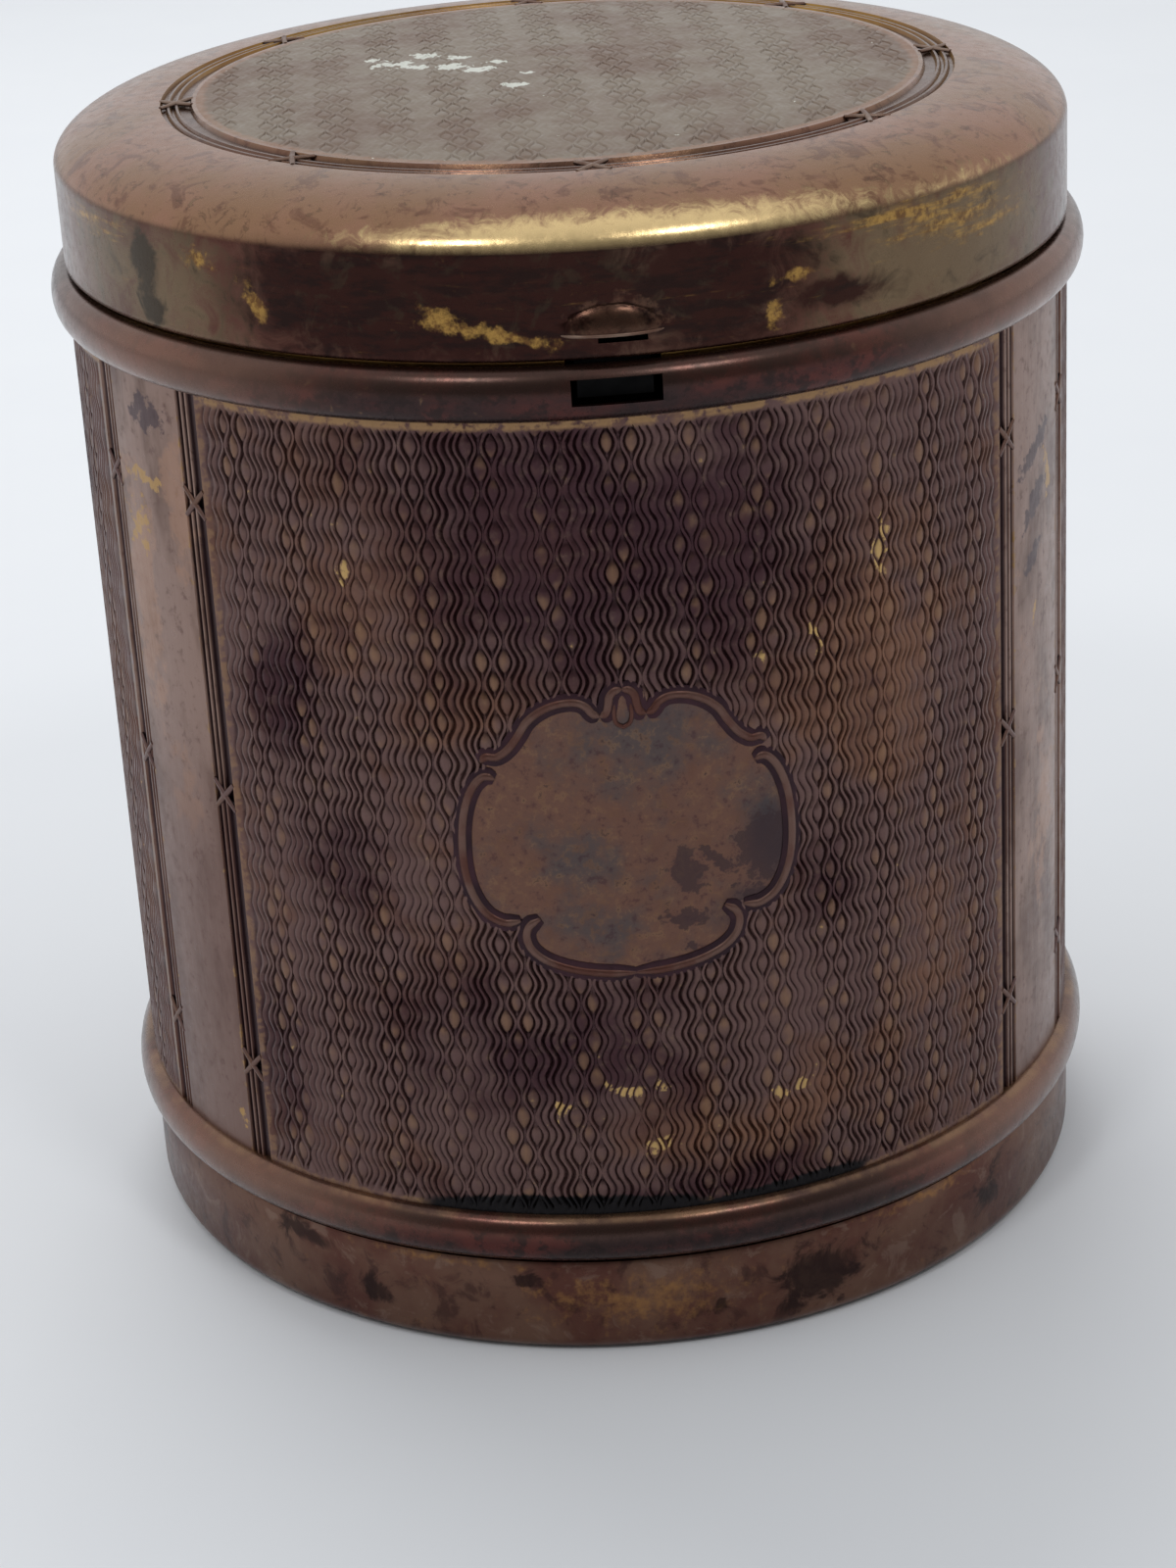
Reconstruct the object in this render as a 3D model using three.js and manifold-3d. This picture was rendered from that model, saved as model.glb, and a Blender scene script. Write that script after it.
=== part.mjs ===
// Round hinged cigarette tin, in millimetres, +Z up, front towards -Y, hinge at the back (+Y).
// The origin is the centre of the foot, on the surface that the tin stands on.
import * as THREE from 'three';
import { mergeVertices } from 'three/addons/utils/BufferGeometryUtils.js';
import Module from 'manifold-3d';

const wasm = await Module();
wasm.setup();

// Sheet and fits
const SHEET = 0.4; // thickness of the rolled and pressed sheet
const FIT = 0.3; // clearance between nested or neighbouring pieces
const ROUND_STEPS = 64; // facets round the tin
const SMALL_STEPS = 16; // facets round pins, knuckles and holes
const RIVET_STEPS = 10; // facets round a rivet

// Body wall
const BODY_RADIUS = 34; // outside of the plain wall
const WALL_HEIGHT = 54.9; // plain wall between the two beads
const BEAD_HEIGHT = 3.4; // each rolled bead, measured up the wall
const BEAD_PROUD = 1.1; // how far a bead stands out of the wall
const BEAD_STEPS = 8;

// Sunk channels that frame the three panels of the wall, in pairs beside three plain bands
const CHANNEL_WIDTH = 1.9;
const CHANNEL_DEPTH = 0.15;
const BAND_MIDDLES = [-58.65, 58.65, 180]; // degrees from the front
const BAND_HALF_ANGLE = 8.55; // from a band's middle to its channels, in degrees

// Base cup
const BASE_HEIGHT = 7;
const BASE_OVERSIZE = 0.1; // the cup is this much larger in radius than the wall
const BASE_EDGE = 1.2; // outside rounding of its bottom edge
const FOOT_WIDTH = 3.4; // flat ring that the tin stands on
const FOOT_DEPTH = 1.2; // how far the panel inside that ring is set up
const FOOT_SLOPE = 1; // run of the slope between ring and panel
const BASE_STEPS = 4;

// Neck that the lid closes over
const NECK_ABOVE = 4.2; // how far it stands above the upper bead
const NECK_BELOW = 11; // how far it reaches down inside the wall
const NECK_CURL = 0.6; // rounding of its turned-in top edge
const CURL_STEPS = 3;

// Lid
const LID_SKIRT = 6.5; // straight side of the lid
const MEDALLION_RADIUS = 26.2; // flat domed disc inside the shoulder
const SHOULDER_RISE = 3.1;
const DOME_RISE = 0.7;
const RING_WIDTH = 1.8; // sunk ring round the disc
const RING_DEPTH = 0.15;
const RING_SLOPE = 0.1; // run of each side of that ring
const SHOULDER_STEPS = 8;
const DOME_STEPS = 4;

// Half-moon thumb louvre, lanced out of the lid's front
const LOUVRE_WIDTH = 5.6;
const LOUVRE_HEIGHT = 2;
const LOUVRE_PROUD = 0.9;
const LOUVRE_ABOVE_EDGE = 1.55; // its slit, above the lid's lower edge
const LOUVRE_ROOT = 0.6; // its centre lies this far inside the skirt's outside

// Release window in the upper bead
const WINDOW_WIDTH = 5.5;
const WINDOW_HEIGHT = 1.6;
const WINDOW_ABOVE_MID = 0.25; // its centre, above the bead's middle

// Spring catch behind the window
const CATCH_WIDTH = 4.6;
const CATCH_BELOW = 8; // its lower end, below the window's middle
const CATCH_PAD = 1.45; // how far the push pad stands out of the strip
const PAD_HEIGHT = 1.1; // pad, at its tip
const PAD_FLARE = 0.3; // extra height at its root, above and below
const NOSE_WIDTH = 2;
const NOSE_FACE = 0.3; // flat tip of the nose
const NOSE_GRIP = 0.5; // overlap of the nose and the lid's sheet
const NOSE_SLOPE = 1.15; // height of the slope that the closing lid rides down
const CATCH_RIVET_SPACING = 2.8;
const CATCH_RIVET_UP = 1; // rivets, above the strip's lower end

// Hinge
const HINGE_LENGTH = 14;
const KNUCKLES = 5;
const KNUCKLE_RADIUS = 0.95;
const PIN_RADIUS = 0.4;
const PIN_CLEARANCE = 0.2;
const PIN_HEAD = 0.35; // length of each peened end
const HINGE_AXIS_OUT = 0.6; // hinge axis, outside the wall
const HINGE_RAISE = 0.1; // hinge axis, above the middle of the gap under the lid
const BODY_LEAF_HEIGHT = 7.5;
const LID_LEAF_TOP_MARGIN = 0.5; // below the top of the straight skirt
const LEAF_RIVET_SPACING = 9;
const BODY_RIVET_DOWN = 3.8; // below the upper edge of the body leaf

// Rivets
const RIVET_RADIUS = 0.45;
const RIVET_HEAD_RADIUS = 0.85;
const RIVET_HEAD_HEIGHT = 0.4;
const RIVET_CROWN_RADIUS = 0.5; // flat top of a head

// Levels that follow from the sizes above
const LOWER_BEAD_Z = BASE_HEIGHT + FIT;
const WALL_Z = LOWER_BEAD_Z + BEAD_HEIGHT;
const UPPER_BEAD_Z = WALL_Z + WALL_HEIGHT;
const WALL_TOP = UPPER_BEAD_Z + BEAD_HEIGHT;
const LID_EDGE_Z = WALL_TOP + FIT;
const SKIRT_TOP = LID_EDGE_Z + LID_SKIRT;
const CROWN_Z = SKIRT_TOP + SHOULDER_RISE;
const LID_TOP = CROWN_Z + DOME_RISE;
const NECK_TOP = WALL_TOP + NECK_ABOVE;
const NECK_BOTTOM = WALL_TOP - NECK_BELOW;
const FOOT_END = BASE_EDGE; // lower edge of the wall, inside the base cup
const WINDOW_Z = UPPER_BEAD_Z + BEAD_HEIGHT / 2 + WINDOW_ABOVE_MID;
const LOUVRE_Z = LID_EDGE_Z + LOUVRE_ABOVE_EDGE;
const HINGE_Z = (WALL_TOP + LID_EDGE_Z) / 2 + HINGE_RAISE;
const HINGE_Y = BODY_RADIUS + HINGE_AXIS_OUT;

// Radii that follow from the sizes above
const WALL_INSIDE = BODY_RADIUS - SHEET;
const BASE_RADIUS = BODY_RADIUS + BASE_OVERSIZE;
const BASE_INSIDE = BASE_RADIUS - SHEET;
const WALL_FOOT_RADIUS = BASE_INSIDE - FIT;
const NECK_RADIUS = WALL_INSIDE - FIT;
const NECK_INSIDE = NECK_RADIUS - SHEET;
const LEAF_INSIDE = BODY_RADIUS + FIT;
const LEAF_OUTSIDE = LEAF_INSIDE + SHEET;

const FAR = 2 * (BODY_RADIUS + LID_TOP); // longer than the whole tin, for through cuts

const patina = new THREE.MeshStandardMaterial({ color: 0x6e4a36, roughness: 0.45, metalness: 0.8 });
const lidPatina = new THREE.MeshStandardMaterial({ color: 0x7d5b45, roughness: 0.5, metalness: 0.8 });
const brass = new THREE.MeshStandardMaterial({ color: 0xa67c42, roughness: 0.4, metalness: 0.9 });
const blued = new THREE.MeshStandardMaterial({ color: 0x1c2026, roughness: 0.35, metalness: 0.9 });

// A closed geometry as a solid that can be joined and cut
function solid(geometry) {
  const bare = geometry.clone();
  for (const name of Object.keys(bare.attributes)) {
    if (name !== 'position') bare.deleteAttribute(name);
  }
  const merged = mergeVertices(bare);
  return new wasm.Manifold(
    new wasm.Mesh({
      numProp: 3,
      vertProperties: new Float32Array(merged.attributes.position.array),
      triVerts: new Uint32Array(merged.index.array),
    }),
  );
}

function geometryOf(manifold) {
  const mesh = manifold.getMesh();
  const geometry = new THREE.BufferGeometry();
  geometry.setAttribute('position', new THREE.BufferAttribute(mesh.vertProperties, 3));
  geometry.setIndex(new THREE.BufferAttribute(mesh.triVerts, 1));
  return geometry;
}

// Points run anticlockwise in the plane of radius and height
function turned(points, steps) {
  return new THREE.LatheGeometry(points.map(([r, h]) => new THREE.Vector2(r, h)), steps);
}

function upright(points) {
  return turned(points, ROUND_STEPS).rotateX(Math.PI / 2);
}

function ring(inside, outside, low, high) {
  return solid(upright([[outside, low], [outside, high], [inside, high], [inside, low], [outside, low]]));
}

function block([x0, x1], [y0, y1], [z0, z1]) {
  const box = new THREE.BoxGeometry(x1 - x0, y1 - y0, z1 - z0);
  return solid(box.translate((x0 + x1) / 2, (y0 + y1) / 2, (z0 + z1) / 2));
}

function rodAlongX(radius, [x0, x1], y, z) {
  const rod = new THREE.CylinderGeometry(radius, radius, x1 - x0, SMALL_STEPS).rotateZ(Math.PI / 2);
  return solid(rod.translate((x0 + x1) / 2, y, z));
}

function rodAlongY(radius, x, [y0, y1], z) {
  const rod = new THREE.CylinderGeometry(radius, radius, y1 - y0, SMALL_STEPS);
  return solid(rod.translate(x, (y0 + y1) / 2, z));
}

// Half round of a bead, from its lower to its upper edge
function beadArc(radius, low, high, steps) {
  const middle = (low + high) / 2;
  const half = (high - low) / 2;
  const points = [];
  for (let i = 0; i <= steps; i += 1) {
    const turn = (Math.PI * i) / steps;
    points.push([radius + BEAD_PROUD * Math.sin(turn), middle - half * Math.cos(turn)]);
  }
  return points;
}

// Quarter round from one end angle to another, round a centre
function arc([r, h], radius, from, to, steps) {
  const points = [];
  for (let i = 0; i <= steps; i += 1) {
    const turn = from + ((to - from) * i) / steps;
    points.push([r + radius * Math.cos(turn), h + radius * Math.sin(turn)]);
  }
  return points;
}

// The y of a cylinder's surface at a given x
function chordY(radius, x) {
  return Math.sqrt(radius * radius - x * x);
}

const part = new THREE.Group();

function addNode(name, geometry, material) {
  const mesh = new THREE.Mesh(geometry, material);
  mesh.name = name;
  part.add(mesh);
  return mesh;
}

// Where the hinge sits in the wall and in the lid's edge
const hingeHalf = HINGE_LENGTH / 2;
const notchHalf = hingeHalf + 3 * FIT;
const barrelBottom = HINGE_Z - KNUCKLE_RADIUS - FIT;
const barrelTop = HINGE_Z + KNUCKLE_RADIUS + FIT;
const leafRivetXs = [-LEAF_RIVET_SPACING / 2, LEAF_RIVET_SPACING / 2];
const bodyRivetZ = barrelBottom - BODY_RIVET_DOWN;
const lidLeafTop = SKIRT_TOP - LID_LEAF_TOP_MARGIN;
const lidRivetZ = lidLeafTop - RIVET_HEAD_RADIUS;
const rivetHole = RIVET_RADIUS + FIT;

// Where the catch sits in the neck
const stripOutside = NECK_INSIDE - FIT - (NECK_INSIDE - chordY(NECK_INSIDE, CATCH_WIDTH / 2));
const stripInside = stripOutside - SHEET;
const catchBottom = WINDOW_Z - CATCH_BELOW;
const catchRivetZ = catchBottom + CATCH_RIVET_UP;
const noseZ = LOUVRE_Z + FIT;
const noseTip = WALL_INSIDE + NOSE_GRIP;
const noseTop = noseZ + NOSE_FACE + NOSE_SLOPE;
const catchRivetXs = [-CATCH_RIVET_SPACING / 2, CATCH_RIVET_SPACING / 2];

function bodyWall() {
  const outside = [
    [WALL_FOOT_RADIUS, FOOT_END],
    [WALL_FOOT_RADIUS, LOWER_BEAD_Z],
    ...beadArc(BODY_RADIUS, LOWER_BEAD_Z, WALL_Z, BEAD_STEPS),
    ...beadArc(BODY_RADIUS, UPPER_BEAD_Z, WALL_TOP, BEAD_STEPS),
  ];
  const inside = [
    [WALL_FOOT_RADIUS - SHEET, FOOT_END],
    [WALL_FOOT_RADIUS - SHEET, LOWER_BEAD_Z + SHEET],
    ...beadArc(WALL_INSIDE, LOWER_BEAD_Z + SHEET, WALL_Z - SHEET / 2, BEAD_STEPS / 2),
    ...beadArc(WALL_INSIDE, UPPER_BEAD_Z + SHEET / 2, WALL_TOP - SHEET / 2, BEAD_STEPS / 2),
    [WALL_INSIDE, WALL_TOP],
  ];
  const beaded = solid(upright([...outside, ...inside.reverse(), outside[0]]));

  // At the hinge the bead stops and the plain wall ends below the barrel
  const gap = block([-notchHalf, notchHalf], [0, FAR], [UPPER_BEAD_Z, FAR]);
  const patchHalf = notchHalf + SHEET;
  const plain = ring(WALL_INSIDE, BODY_RADIUS, UPPER_BEAD_Z - BEAD_HEIGHT, barrelBottom);
  const patch = plain.intersect(block([-patchHalf, patchHalf], [0, FAR], [0, FAR]));

  const window = block(
    [-WINDOW_WIDTH / 2, WINDOW_WIDTH / 2],
    [-FAR, -NECK_RADIUS],
    [WINDOW_Z - WINDOW_HEIGHT / 2, WINDOW_Z + WINDOW_HEIGHT / 2],
  );
  let wall = beaded.subtract(gap).add(patch).subtract(window);
  for (const middle of BAND_MIDDLES) {
    wall = wall.subtract(wallChannel(middle - BAND_HALF_ANGLE)).subtract(wallChannel(middle + BAND_HALF_ANGLE));
  }
  for (const x of leafRivetXs) {
    wall = wall.subtract(rodAlongY(rivetHole, x, [0, FAR], bodyRivetZ));
  }
  return geometryOf(wall);
}

// The space of one sunk channel, from bead to bead
function wallChannel(degrees) {
  const skin = ring(BODY_RADIUS - CHANNEL_DEPTH, BODY_RADIUS + CHANNEL_DEPTH, WALL_Z, UPPER_BEAD_Z);
  const column = block([-CHANNEL_WIDTH / 2, CHANNEL_WIDTH / 2], [-FAR, 0], [0, FAR]);
  return skin.intersect(column.rotate([0, 0, degrees]));
}

function baseCup() {
  const footOutside = BASE_RADIUS - BASE_EDGE;
  const footInside = footOutside - FOOT_WIDTH;
  const panelRadius = footInside - FOOT_SLOPE;
  return upright([
    [0, FOOT_DEPTH],
    [panelRadius, FOOT_DEPTH],
    [footInside, 0],
    ...arc([footOutside, BASE_EDGE], BASE_EDGE, -Math.PI / 2, 0, BASE_STEPS),
    [BASE_RADIUS, BASE_HEIGHT],
    [BASE_INSIDE, BASE_HEIGHT],
    ...arc([footOutside, BASE_EDGE], BASE_EDGE - SHEET, 0, -Math.PI / 2, BASE_STEPS),
    [footInside + SHEET / 2, SHEET],
    [panelRadius + SHEET / 2, FOOT_DEPTH + SHEET],
    [0, FOOT_DEPTH + SHEET],
  ]);
}

function neckRing() {
  const curlCentre = [NECK_RADIUS - NECK_CURL, NECK_TOP - NECK_CURL];
  const outside = [
    [NECK_RADIUS, NECK_BOTTOM],
    ...arc(curlCentre, NECK_CURL, 0, Math.PI / 2, CURL_STEPS),
  ];
  const inside = [
    ...arc(curlCentre, NECK_CURL - SHEET, Math.PI / 2, 0, CURL_STEPS),
    [NECK_INSIDE, NECK_BOTTOM],
  ];
  const slotHalf = CATCH_WIDTH / 2 + 2 * FIT;
  const slot = block(
    [-slotHalf, slotHalf],
    [-FAR, 0],
    [WINDOW_Z - PAD_HEIGHT / 2 - PAD_FLARE - 2 * FIT, noseTop],
  );
  let neck = solid(upright([...outside, ...inside, outside[0]])).subtract(slot);
  for (const x of catchRivetXs) {
    neck = neck.subtract(rodAlongY(rivetHole, x, [-FAR, 0], catchRivetZ));
  }
  for (const x of leafRivetXs) {
    neck = neck.subtract(rodAlongY(rivetHole, x, [0, FAR], bodyRivetZ));
  }
  return geometryOf(neck);
}

function lidShell() {
  const under = [];
  const over = [];
  const domeZ = (r) => CROWN_Z + DOME_RISE * (1 - (r / MEDALLION_RADIUS) ** 2);
  const ringInside = MEDALLION_RADIUS - RING_WIDTH;
  for (let i = 0; i <= DOME_STEPS; i += 1) {
    const underR = (MEDALLION_RADIUS * i) / DOME_STEPS;
    const overR = (ringInside * i) / DOME_STEPS;
    under.push([underR, domeZ(underR) - SHEET]);
    over.push([overR, domeZ(overR)]);
  }
  const ringFloor = domeZ(ringInside) - RING_DEPTH;
  over.push([ringInside + RING_SLOPE, ringFloor]);
  over.push([MEDALLION_RADIUS - RING_SLOPE, ringFloor]);
  over.push([MEDALLION_RADIUS, CROWN_Z]);
  const shoulderRun = BODY_RADIUS - MEDALLION_RADIUS;
  for (let i = 1; i <= SHOULDER_STEPS; i += 1) {
    const turn = (Math.PI / 2) * (1 - i / SHOULDER_STEPS);
    under.push([
      MEDALLION_RADIUS + (shoulderRun - SHEET) * Math.cos(turn),
      SKIRT_TOP + (SHOULDER_RISE - SHEET) * Math.sin(turn),
    ]);
    over.push([
      MEDALLION_RADIUS + shoulderRun * Math.cos(turn),
      SKIRT_TOP + SHOULDER_RISE * Math.sin(turn),
    ]);
  }
  under.push([WALL_INSIDE, LID_EDGE_Z]);
  over.push([BODY_RADIUS, LID_EDGE_Z]);
  const shell = solid(upright([...under, ...over.reverse()]));

  // The louvre is half an egg-shaped bulge, closed above and open along its slit
  const above = block([-FAR, FAR], [-FAR, 0], [LOUVRE_Z, FAR]);
  const core = solid(upright([[0, 0], [WALL_INSIDE, 0], [WALL_INSIDE, LID_TOP], [0, LID_TOP]]));
  const bulge = louvreBulge(0).intersect(above).subtract(core);
  const pocket = louvreBulge(SHEET).intersect(above);

  const notch = block([-notchHalf, notchHalf], [0, FAR], [0, barrelTop]);
  let lid = shell.add(bulge).subtract(pocket).subtract(notch);
  for (const x of leafRivetXs) {
    lid = lid.subtract(rodAlongY(rivetHole, x, [0, FAR], lidRivetZ));
  }
  return geometryOf(lid);
}

function louvreBulge(inset) {
  const egg = new THREE.SphereGeometry(1, SMALL_STEPS, SMALL_STEPS / 2);
  egg.scale(
    LOUVRE_WIDTH / 2 - inset,
    LOUVRE_ROOT + LOUVRE_PROUD - inset,
    LOUVRE_HEIGHT - inset,
  );
  return solid(egg.translate(0, LOUVRE_ROOT - BODY_RADIUS, LOUVRE_Z));
}

// Start and end of each knuckle along the pin; the first, third and last belong to the body
const knuckleSpans = [];
const knuckleLength = (HINGE_LENGTH - (KNUCKLES - 1) * FIT) / KNUCKLES;
for (let i = 0; i < KNUCKLES; i += 1) {
  const start = -hingeHalf + i * (knuckleLength + FIT);
  knuckleSpans.push([start, start + knuckleLength]);
}
const bodySpans = knuckleSpans.filter((span, i) => i % 2 === 0);
const lidSpans = knuckleSpans.filter((span, i) => i % 2 === 1);

// A curved leaf between two levels, with its knuckles rolled round the pin
function hingeLeaf([leafLow, leafHigh], [tabLow, tabHigh], spans, rivetZ) {
  const sheet = ring(LEAF_INSIDE, LEAF_OUTSIDE, Math.min(leafLow, tabLow), Math.max(leafHigh, tabHigh));
  let leaf = sheet.intersect(block([-hingeHalf, hingeHalf], [0, FAR], [leafLow, leafHigh]));
  for (const span of spans) {
    leaf = leaf.add(sheet.intersect(block(span, [0, FAR], [tabLow, tabHigh])));
    leaf = leaf.add(rodAlongX(KNUCKLE_RADIUS, span, HINGE_Y, HINGE_Z));
  }
  const bore = rodAlongX(PIN_RADIUS + PIN_CLEARANCE, [-FAR, FAR], HINGE_Y, HINGE_Z);
  leaf = leaf.subtract(bore);
  for (const x of leafRivetXs) {
    leaf = leaf.subtract(rodAlongY(rivetHole, x, [0, FAR], rivetZ));
  }
  return geometryOf(leaf);
}

function hingePin() {
  const half = hingeHalf + FIT;
  const headRadius = (PIN_RADIUS + KNUCKLE_RADIUS) / 2;
  const pin = turned(
    [
      [0, -half - PIN_HEAD],
      [PIN_RADIUS, -half - PIN_HEAD],
      [headRadius, -half],
      [PIN_RADIUS, -half],
      [PIN_RADIUS, half],
      [headRadius, half],
      [PIN_RADIUS, half + PIN_HEAD],
      [0, half + PIN_HEAD],
    ],
    SMALL_STEPS,
  );
  return pin.rotateZ(-Math.PI / 2);
}

// A rivet along Y with a low domed head at each end that has one
function rivet(low, high, headLow, headHigh) {
  const points = [];
  if (headLow) {
    points.push([0, low - RIVET_HEAD_HEIGHT], [RIVET_CROWN_RADIUS, low - RIVET_HEAD_HEIGHT]);
    points.push([RIVET_HEAD_RADIUS, low]);
  } else {
    points.push([0, low]);
  }
  points.push([RIVET_RADIUS, low], [RIVET_RADIUS, high]);
  if (headHigh) {
    points.push([RIVET_HEAD_RADIUS, high]);
    points.push([RIVET_CROWN_RADIUS, high + RIVET_HEAD_HEIGHT], [0, high + RIVET_HEAD_HEIGHT]);
  } else {
    points.push([0, high]);
  }
  return turned(points, RIVET_STEPS);
}

// A straight run of one side view, given in distance from the tin's axis and height, across the front
function acrossFront(points, width) {
  const outline = new THREE.Shape(points.map(([out, z]) => new THREE.Vector2(out, z)));
  const run = new THREE.ExtrudeGeometry(outline, { depth: width, bevelEnabled: false });

  // The outline's x becomes -Y, its y becomes +Z, and the run is along -X
  const toFront = new THREE.Matrix4().makeBasis(
    new THREE.Vector3(0, -1, 0),
    new THREE.Vector3(0, 0, 1),
    new THREE.Vector3(-1, 0, 0),
  );
  return solid(run.applyMatrix4(toFront).translate(width / 2, 0, 0));
}

function catchSpring() {
  const stripTop = noseTop - FIT;
  const padTip = stripOutside + CATCH_PAD;
  const padLow = WINDOW_Z - PAD_HEIGHT / 2;
  const padHigh = WINDOW_Z + PAD_HEIGHT / 2;
  const strip = acrossFront(
    [
      [stripInside, catchBottom],
      [stripOutside, catchBottom],
      [stripOutside, padLow - PAD_FLARE],
      [padTip, padLow],
      [padTip, padHigh],
      [stripOutside, padHigh + PAD_FLARE],
      [stripOutside, stripTop],
      [stripInside, stripTop],
    ],
    CATCH_WIDTH,
  );
  const nose = acrossFront(
    [
      [stripInside, noseZ],
      [noseTip, noseZ],
      [noseTip, noseZ + NOSE_FACE],
      [stripOutside, stripTop],
      [stripInside, stripTop],
    ],
    NOSE_WIDTH,
  );
  let spring = strip.add(nose);
  for (const x of catchRivetXs) {
    spring = spring.subtract(rodAlongY(rivetHole, x, [-FAR, 0], catchRivetZ));
  }
  return geometryOf(spring);
}

addNode('body_wall', bodyWall(), patina);
addNode('base_cup', baseCup(), patina);
addNode('neck_ring', neckRing(), brass);
addNode('lid_shell', lidShell(), lidPatina);

const bodyLeafLow = barrelBottom - BODY_LEAF_HEIGHT;
addNode(
  'hinge_body_leaf',
  hingeLeaf([bodyLeafLow, barrelBottom], [barrelBottom - SHEET, HINGE_Z], bodySpans, bodyRivetZ),
  patina,
);
addNode(
  'hinge_lid_leaf',
  hingeLeaf([barrelTop, lidLeafTop], [HINGE_Z, barrelTop + SHEET], lidSpans, lidRivetZ),
  lidPatina,
);
const pin = addNode('hinge_pin', hingePin(), brass);
pin.position.set(0, HINGE_Y, HINGE_Z);

addNode('catch_spring', catchSpring(), blued);

const sides = ['left', 'right'];
sides.forEach((side, i) => {
  const leafX = leafRivetXs[i];
  const leafFace = chordY(LEAF_OUTSIDE, leafX) + FIT;

  const bodyRivet = addNode(
    `hinge_body_rivet_${side}`,
    rivet(chordY(NECK_INSIDE, leafX) - FIT, leafFace, true, true),
    brass,
  );
  bodyRivet.position.set(leafX, 0, bodyRivetZ);

  const lidRivet = addNode(
    `hinge_lid_rivet_${side}`,
    rivet(chordY(WALL_INSIDE, leafX) - FIT, leafFace, true, true),
    brass,
  );
  lidRivet.position.set(leafX, 0, lidRivetZ);

  const catchRivet = addNode(
    `catch_rivet_${side}`,
    rivet(-chordY(NECK_RADIUS, catchRivetXs[i]), FIT - stripInside, false, true),
    brass,
  );
  catchRivet.position.set(catchRivetXs[i], 0, catchRivetZ);
});

export default part;
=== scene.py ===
"""Round hinged cigarette tin with engine-turned panels, in metres, front towards -Y, hinge at +Y."""

import itertools
import math

import bmesh
import bpy
import numpy as np
from mathutils import Matrix, Vector


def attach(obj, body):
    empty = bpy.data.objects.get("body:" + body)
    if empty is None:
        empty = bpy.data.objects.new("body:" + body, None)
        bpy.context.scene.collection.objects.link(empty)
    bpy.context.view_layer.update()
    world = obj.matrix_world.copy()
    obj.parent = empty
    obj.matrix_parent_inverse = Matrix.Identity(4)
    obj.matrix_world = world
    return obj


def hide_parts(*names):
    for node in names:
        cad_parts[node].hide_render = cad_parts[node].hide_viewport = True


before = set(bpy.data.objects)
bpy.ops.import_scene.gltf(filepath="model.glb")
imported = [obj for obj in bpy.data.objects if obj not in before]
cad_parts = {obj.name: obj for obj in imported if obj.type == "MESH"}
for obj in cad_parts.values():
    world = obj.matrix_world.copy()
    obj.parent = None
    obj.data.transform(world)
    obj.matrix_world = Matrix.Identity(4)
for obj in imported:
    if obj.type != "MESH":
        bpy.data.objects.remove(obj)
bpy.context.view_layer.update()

# Sizes are in millimetres and are turned into metres where a mesh gets its vertices
MM = 0.001
ROUND_STEPS = 240
SMALL_STEPS = 40
RIVET_STEPS = 28
SMOOTH_BELOW = math.radians(48)
MERGE = 0.0005
RIM_MERGE = 0.002
SAME_LEVEL = 0.001

# Wall, beads and base
WALL_RADIUS = 34.0
SHEET = 0.4
CORE_RADIUS = 33.7  # wall behind the engraved skins
SKIN_BACK = 33.66  # back of the skins, a little inside that wall
BASE_TOP = 7.0
BASE_RADIUS = 34.1
BASE_EDGE = 1.2
BASE_MIDDLE = 4.0
BASE_RIM = 0.15
FOOT_WIDTH = 3.4
FOOT_EASE = 0.1
FOOT_FLAT = 0.2
RECESS_SLOPE = 1.0
RECESS_EASE = 0.4
LOWER_BEAD = (7.3, 10.7)
UPPER_BEAD = (65.6, 69.0)
BEAD_PROUD = 1.1
BEAD_STEP = 0.02  # between a bead's edge and the wall behind the skins
BEAD_INSET = 0.2  # how much narrower a bead is inside
BEAD_STEPS = 14
INNER_BEAD_STEPS = 8
FLARE_OUT = 0.2  # of the wall's foot, where it turns out into the lower bead
FLARE_UP = 0.1
WALL_FOOT = 33.4  # outside of the wall where it stands in the base
TIN_MIDDLE = (0, 0, 38)
LID_MIDDLE = (0, 0, 60)
LOOKS_IN = -0.2  # a face turned further from outwards than this belongs to the inside

# Neck
NECK_RADIUS = 33.3
NECK_INSIDE = 32.9
NECK_SPAN = (58.0, 73.2)
NECK_CURL = 0.6
NECK_SLOT = ((-2.9, -40.0, 66.1), (2.9, 0.0, 72.6))

# Lid
LID_EDGE = 69.3
SKIRT_TOP = 75.8
LID_EASE = 0.1
SKIRT_FIRST = 0.12  # lowest row of the side above the lid's edge
SKIRT_LAST = 0.2
SKIRT_ROW = 0.3
SHOULDER_RISE = 3.1
DOME_RISE = 0.7
SHOULDER_RADIUS = 26.2
RING_OUT = 26.6
RING_IN = 24.5
RING_MARGIN = 0.3
MEDALLION_SEAT = 0.25  # how far the lid is let down under the engine-turned disc
MEDALLION_EDGE = 0.28  # between the ring and the disc
MEDALLION_BACK = (1.0, 0.8, 0.8, 0.75, 0.6)  # steps in from the rim, each a share of the last radius
SEAT_EDGE = 0.3
SEAT_WALL = 0.02
SEAT_STEPS = 10
HOLLOW = (60.0, 80.0)  # heights past both ends of the lid's inside
LOUVRE_LEVEL = 70.85
LOUVRE_SIZE = (3.3, 1.2, 2.0)
LOUVRE_WALL = (SHEET, 0.22, SHEET)  # the sheet is drawn thinner at the louvre's front
LOUVRE_ROOT = 0.6
LOUVRE_MOUTH = ((-0.9, -36.0, 70.25), (2.1, -30.0, 70.9))
LIP_RADIUS = 0.11
LIP_ARC = (18, 162)
LIP_STEPS = 30
LIP_TAPER = 0.3

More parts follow.
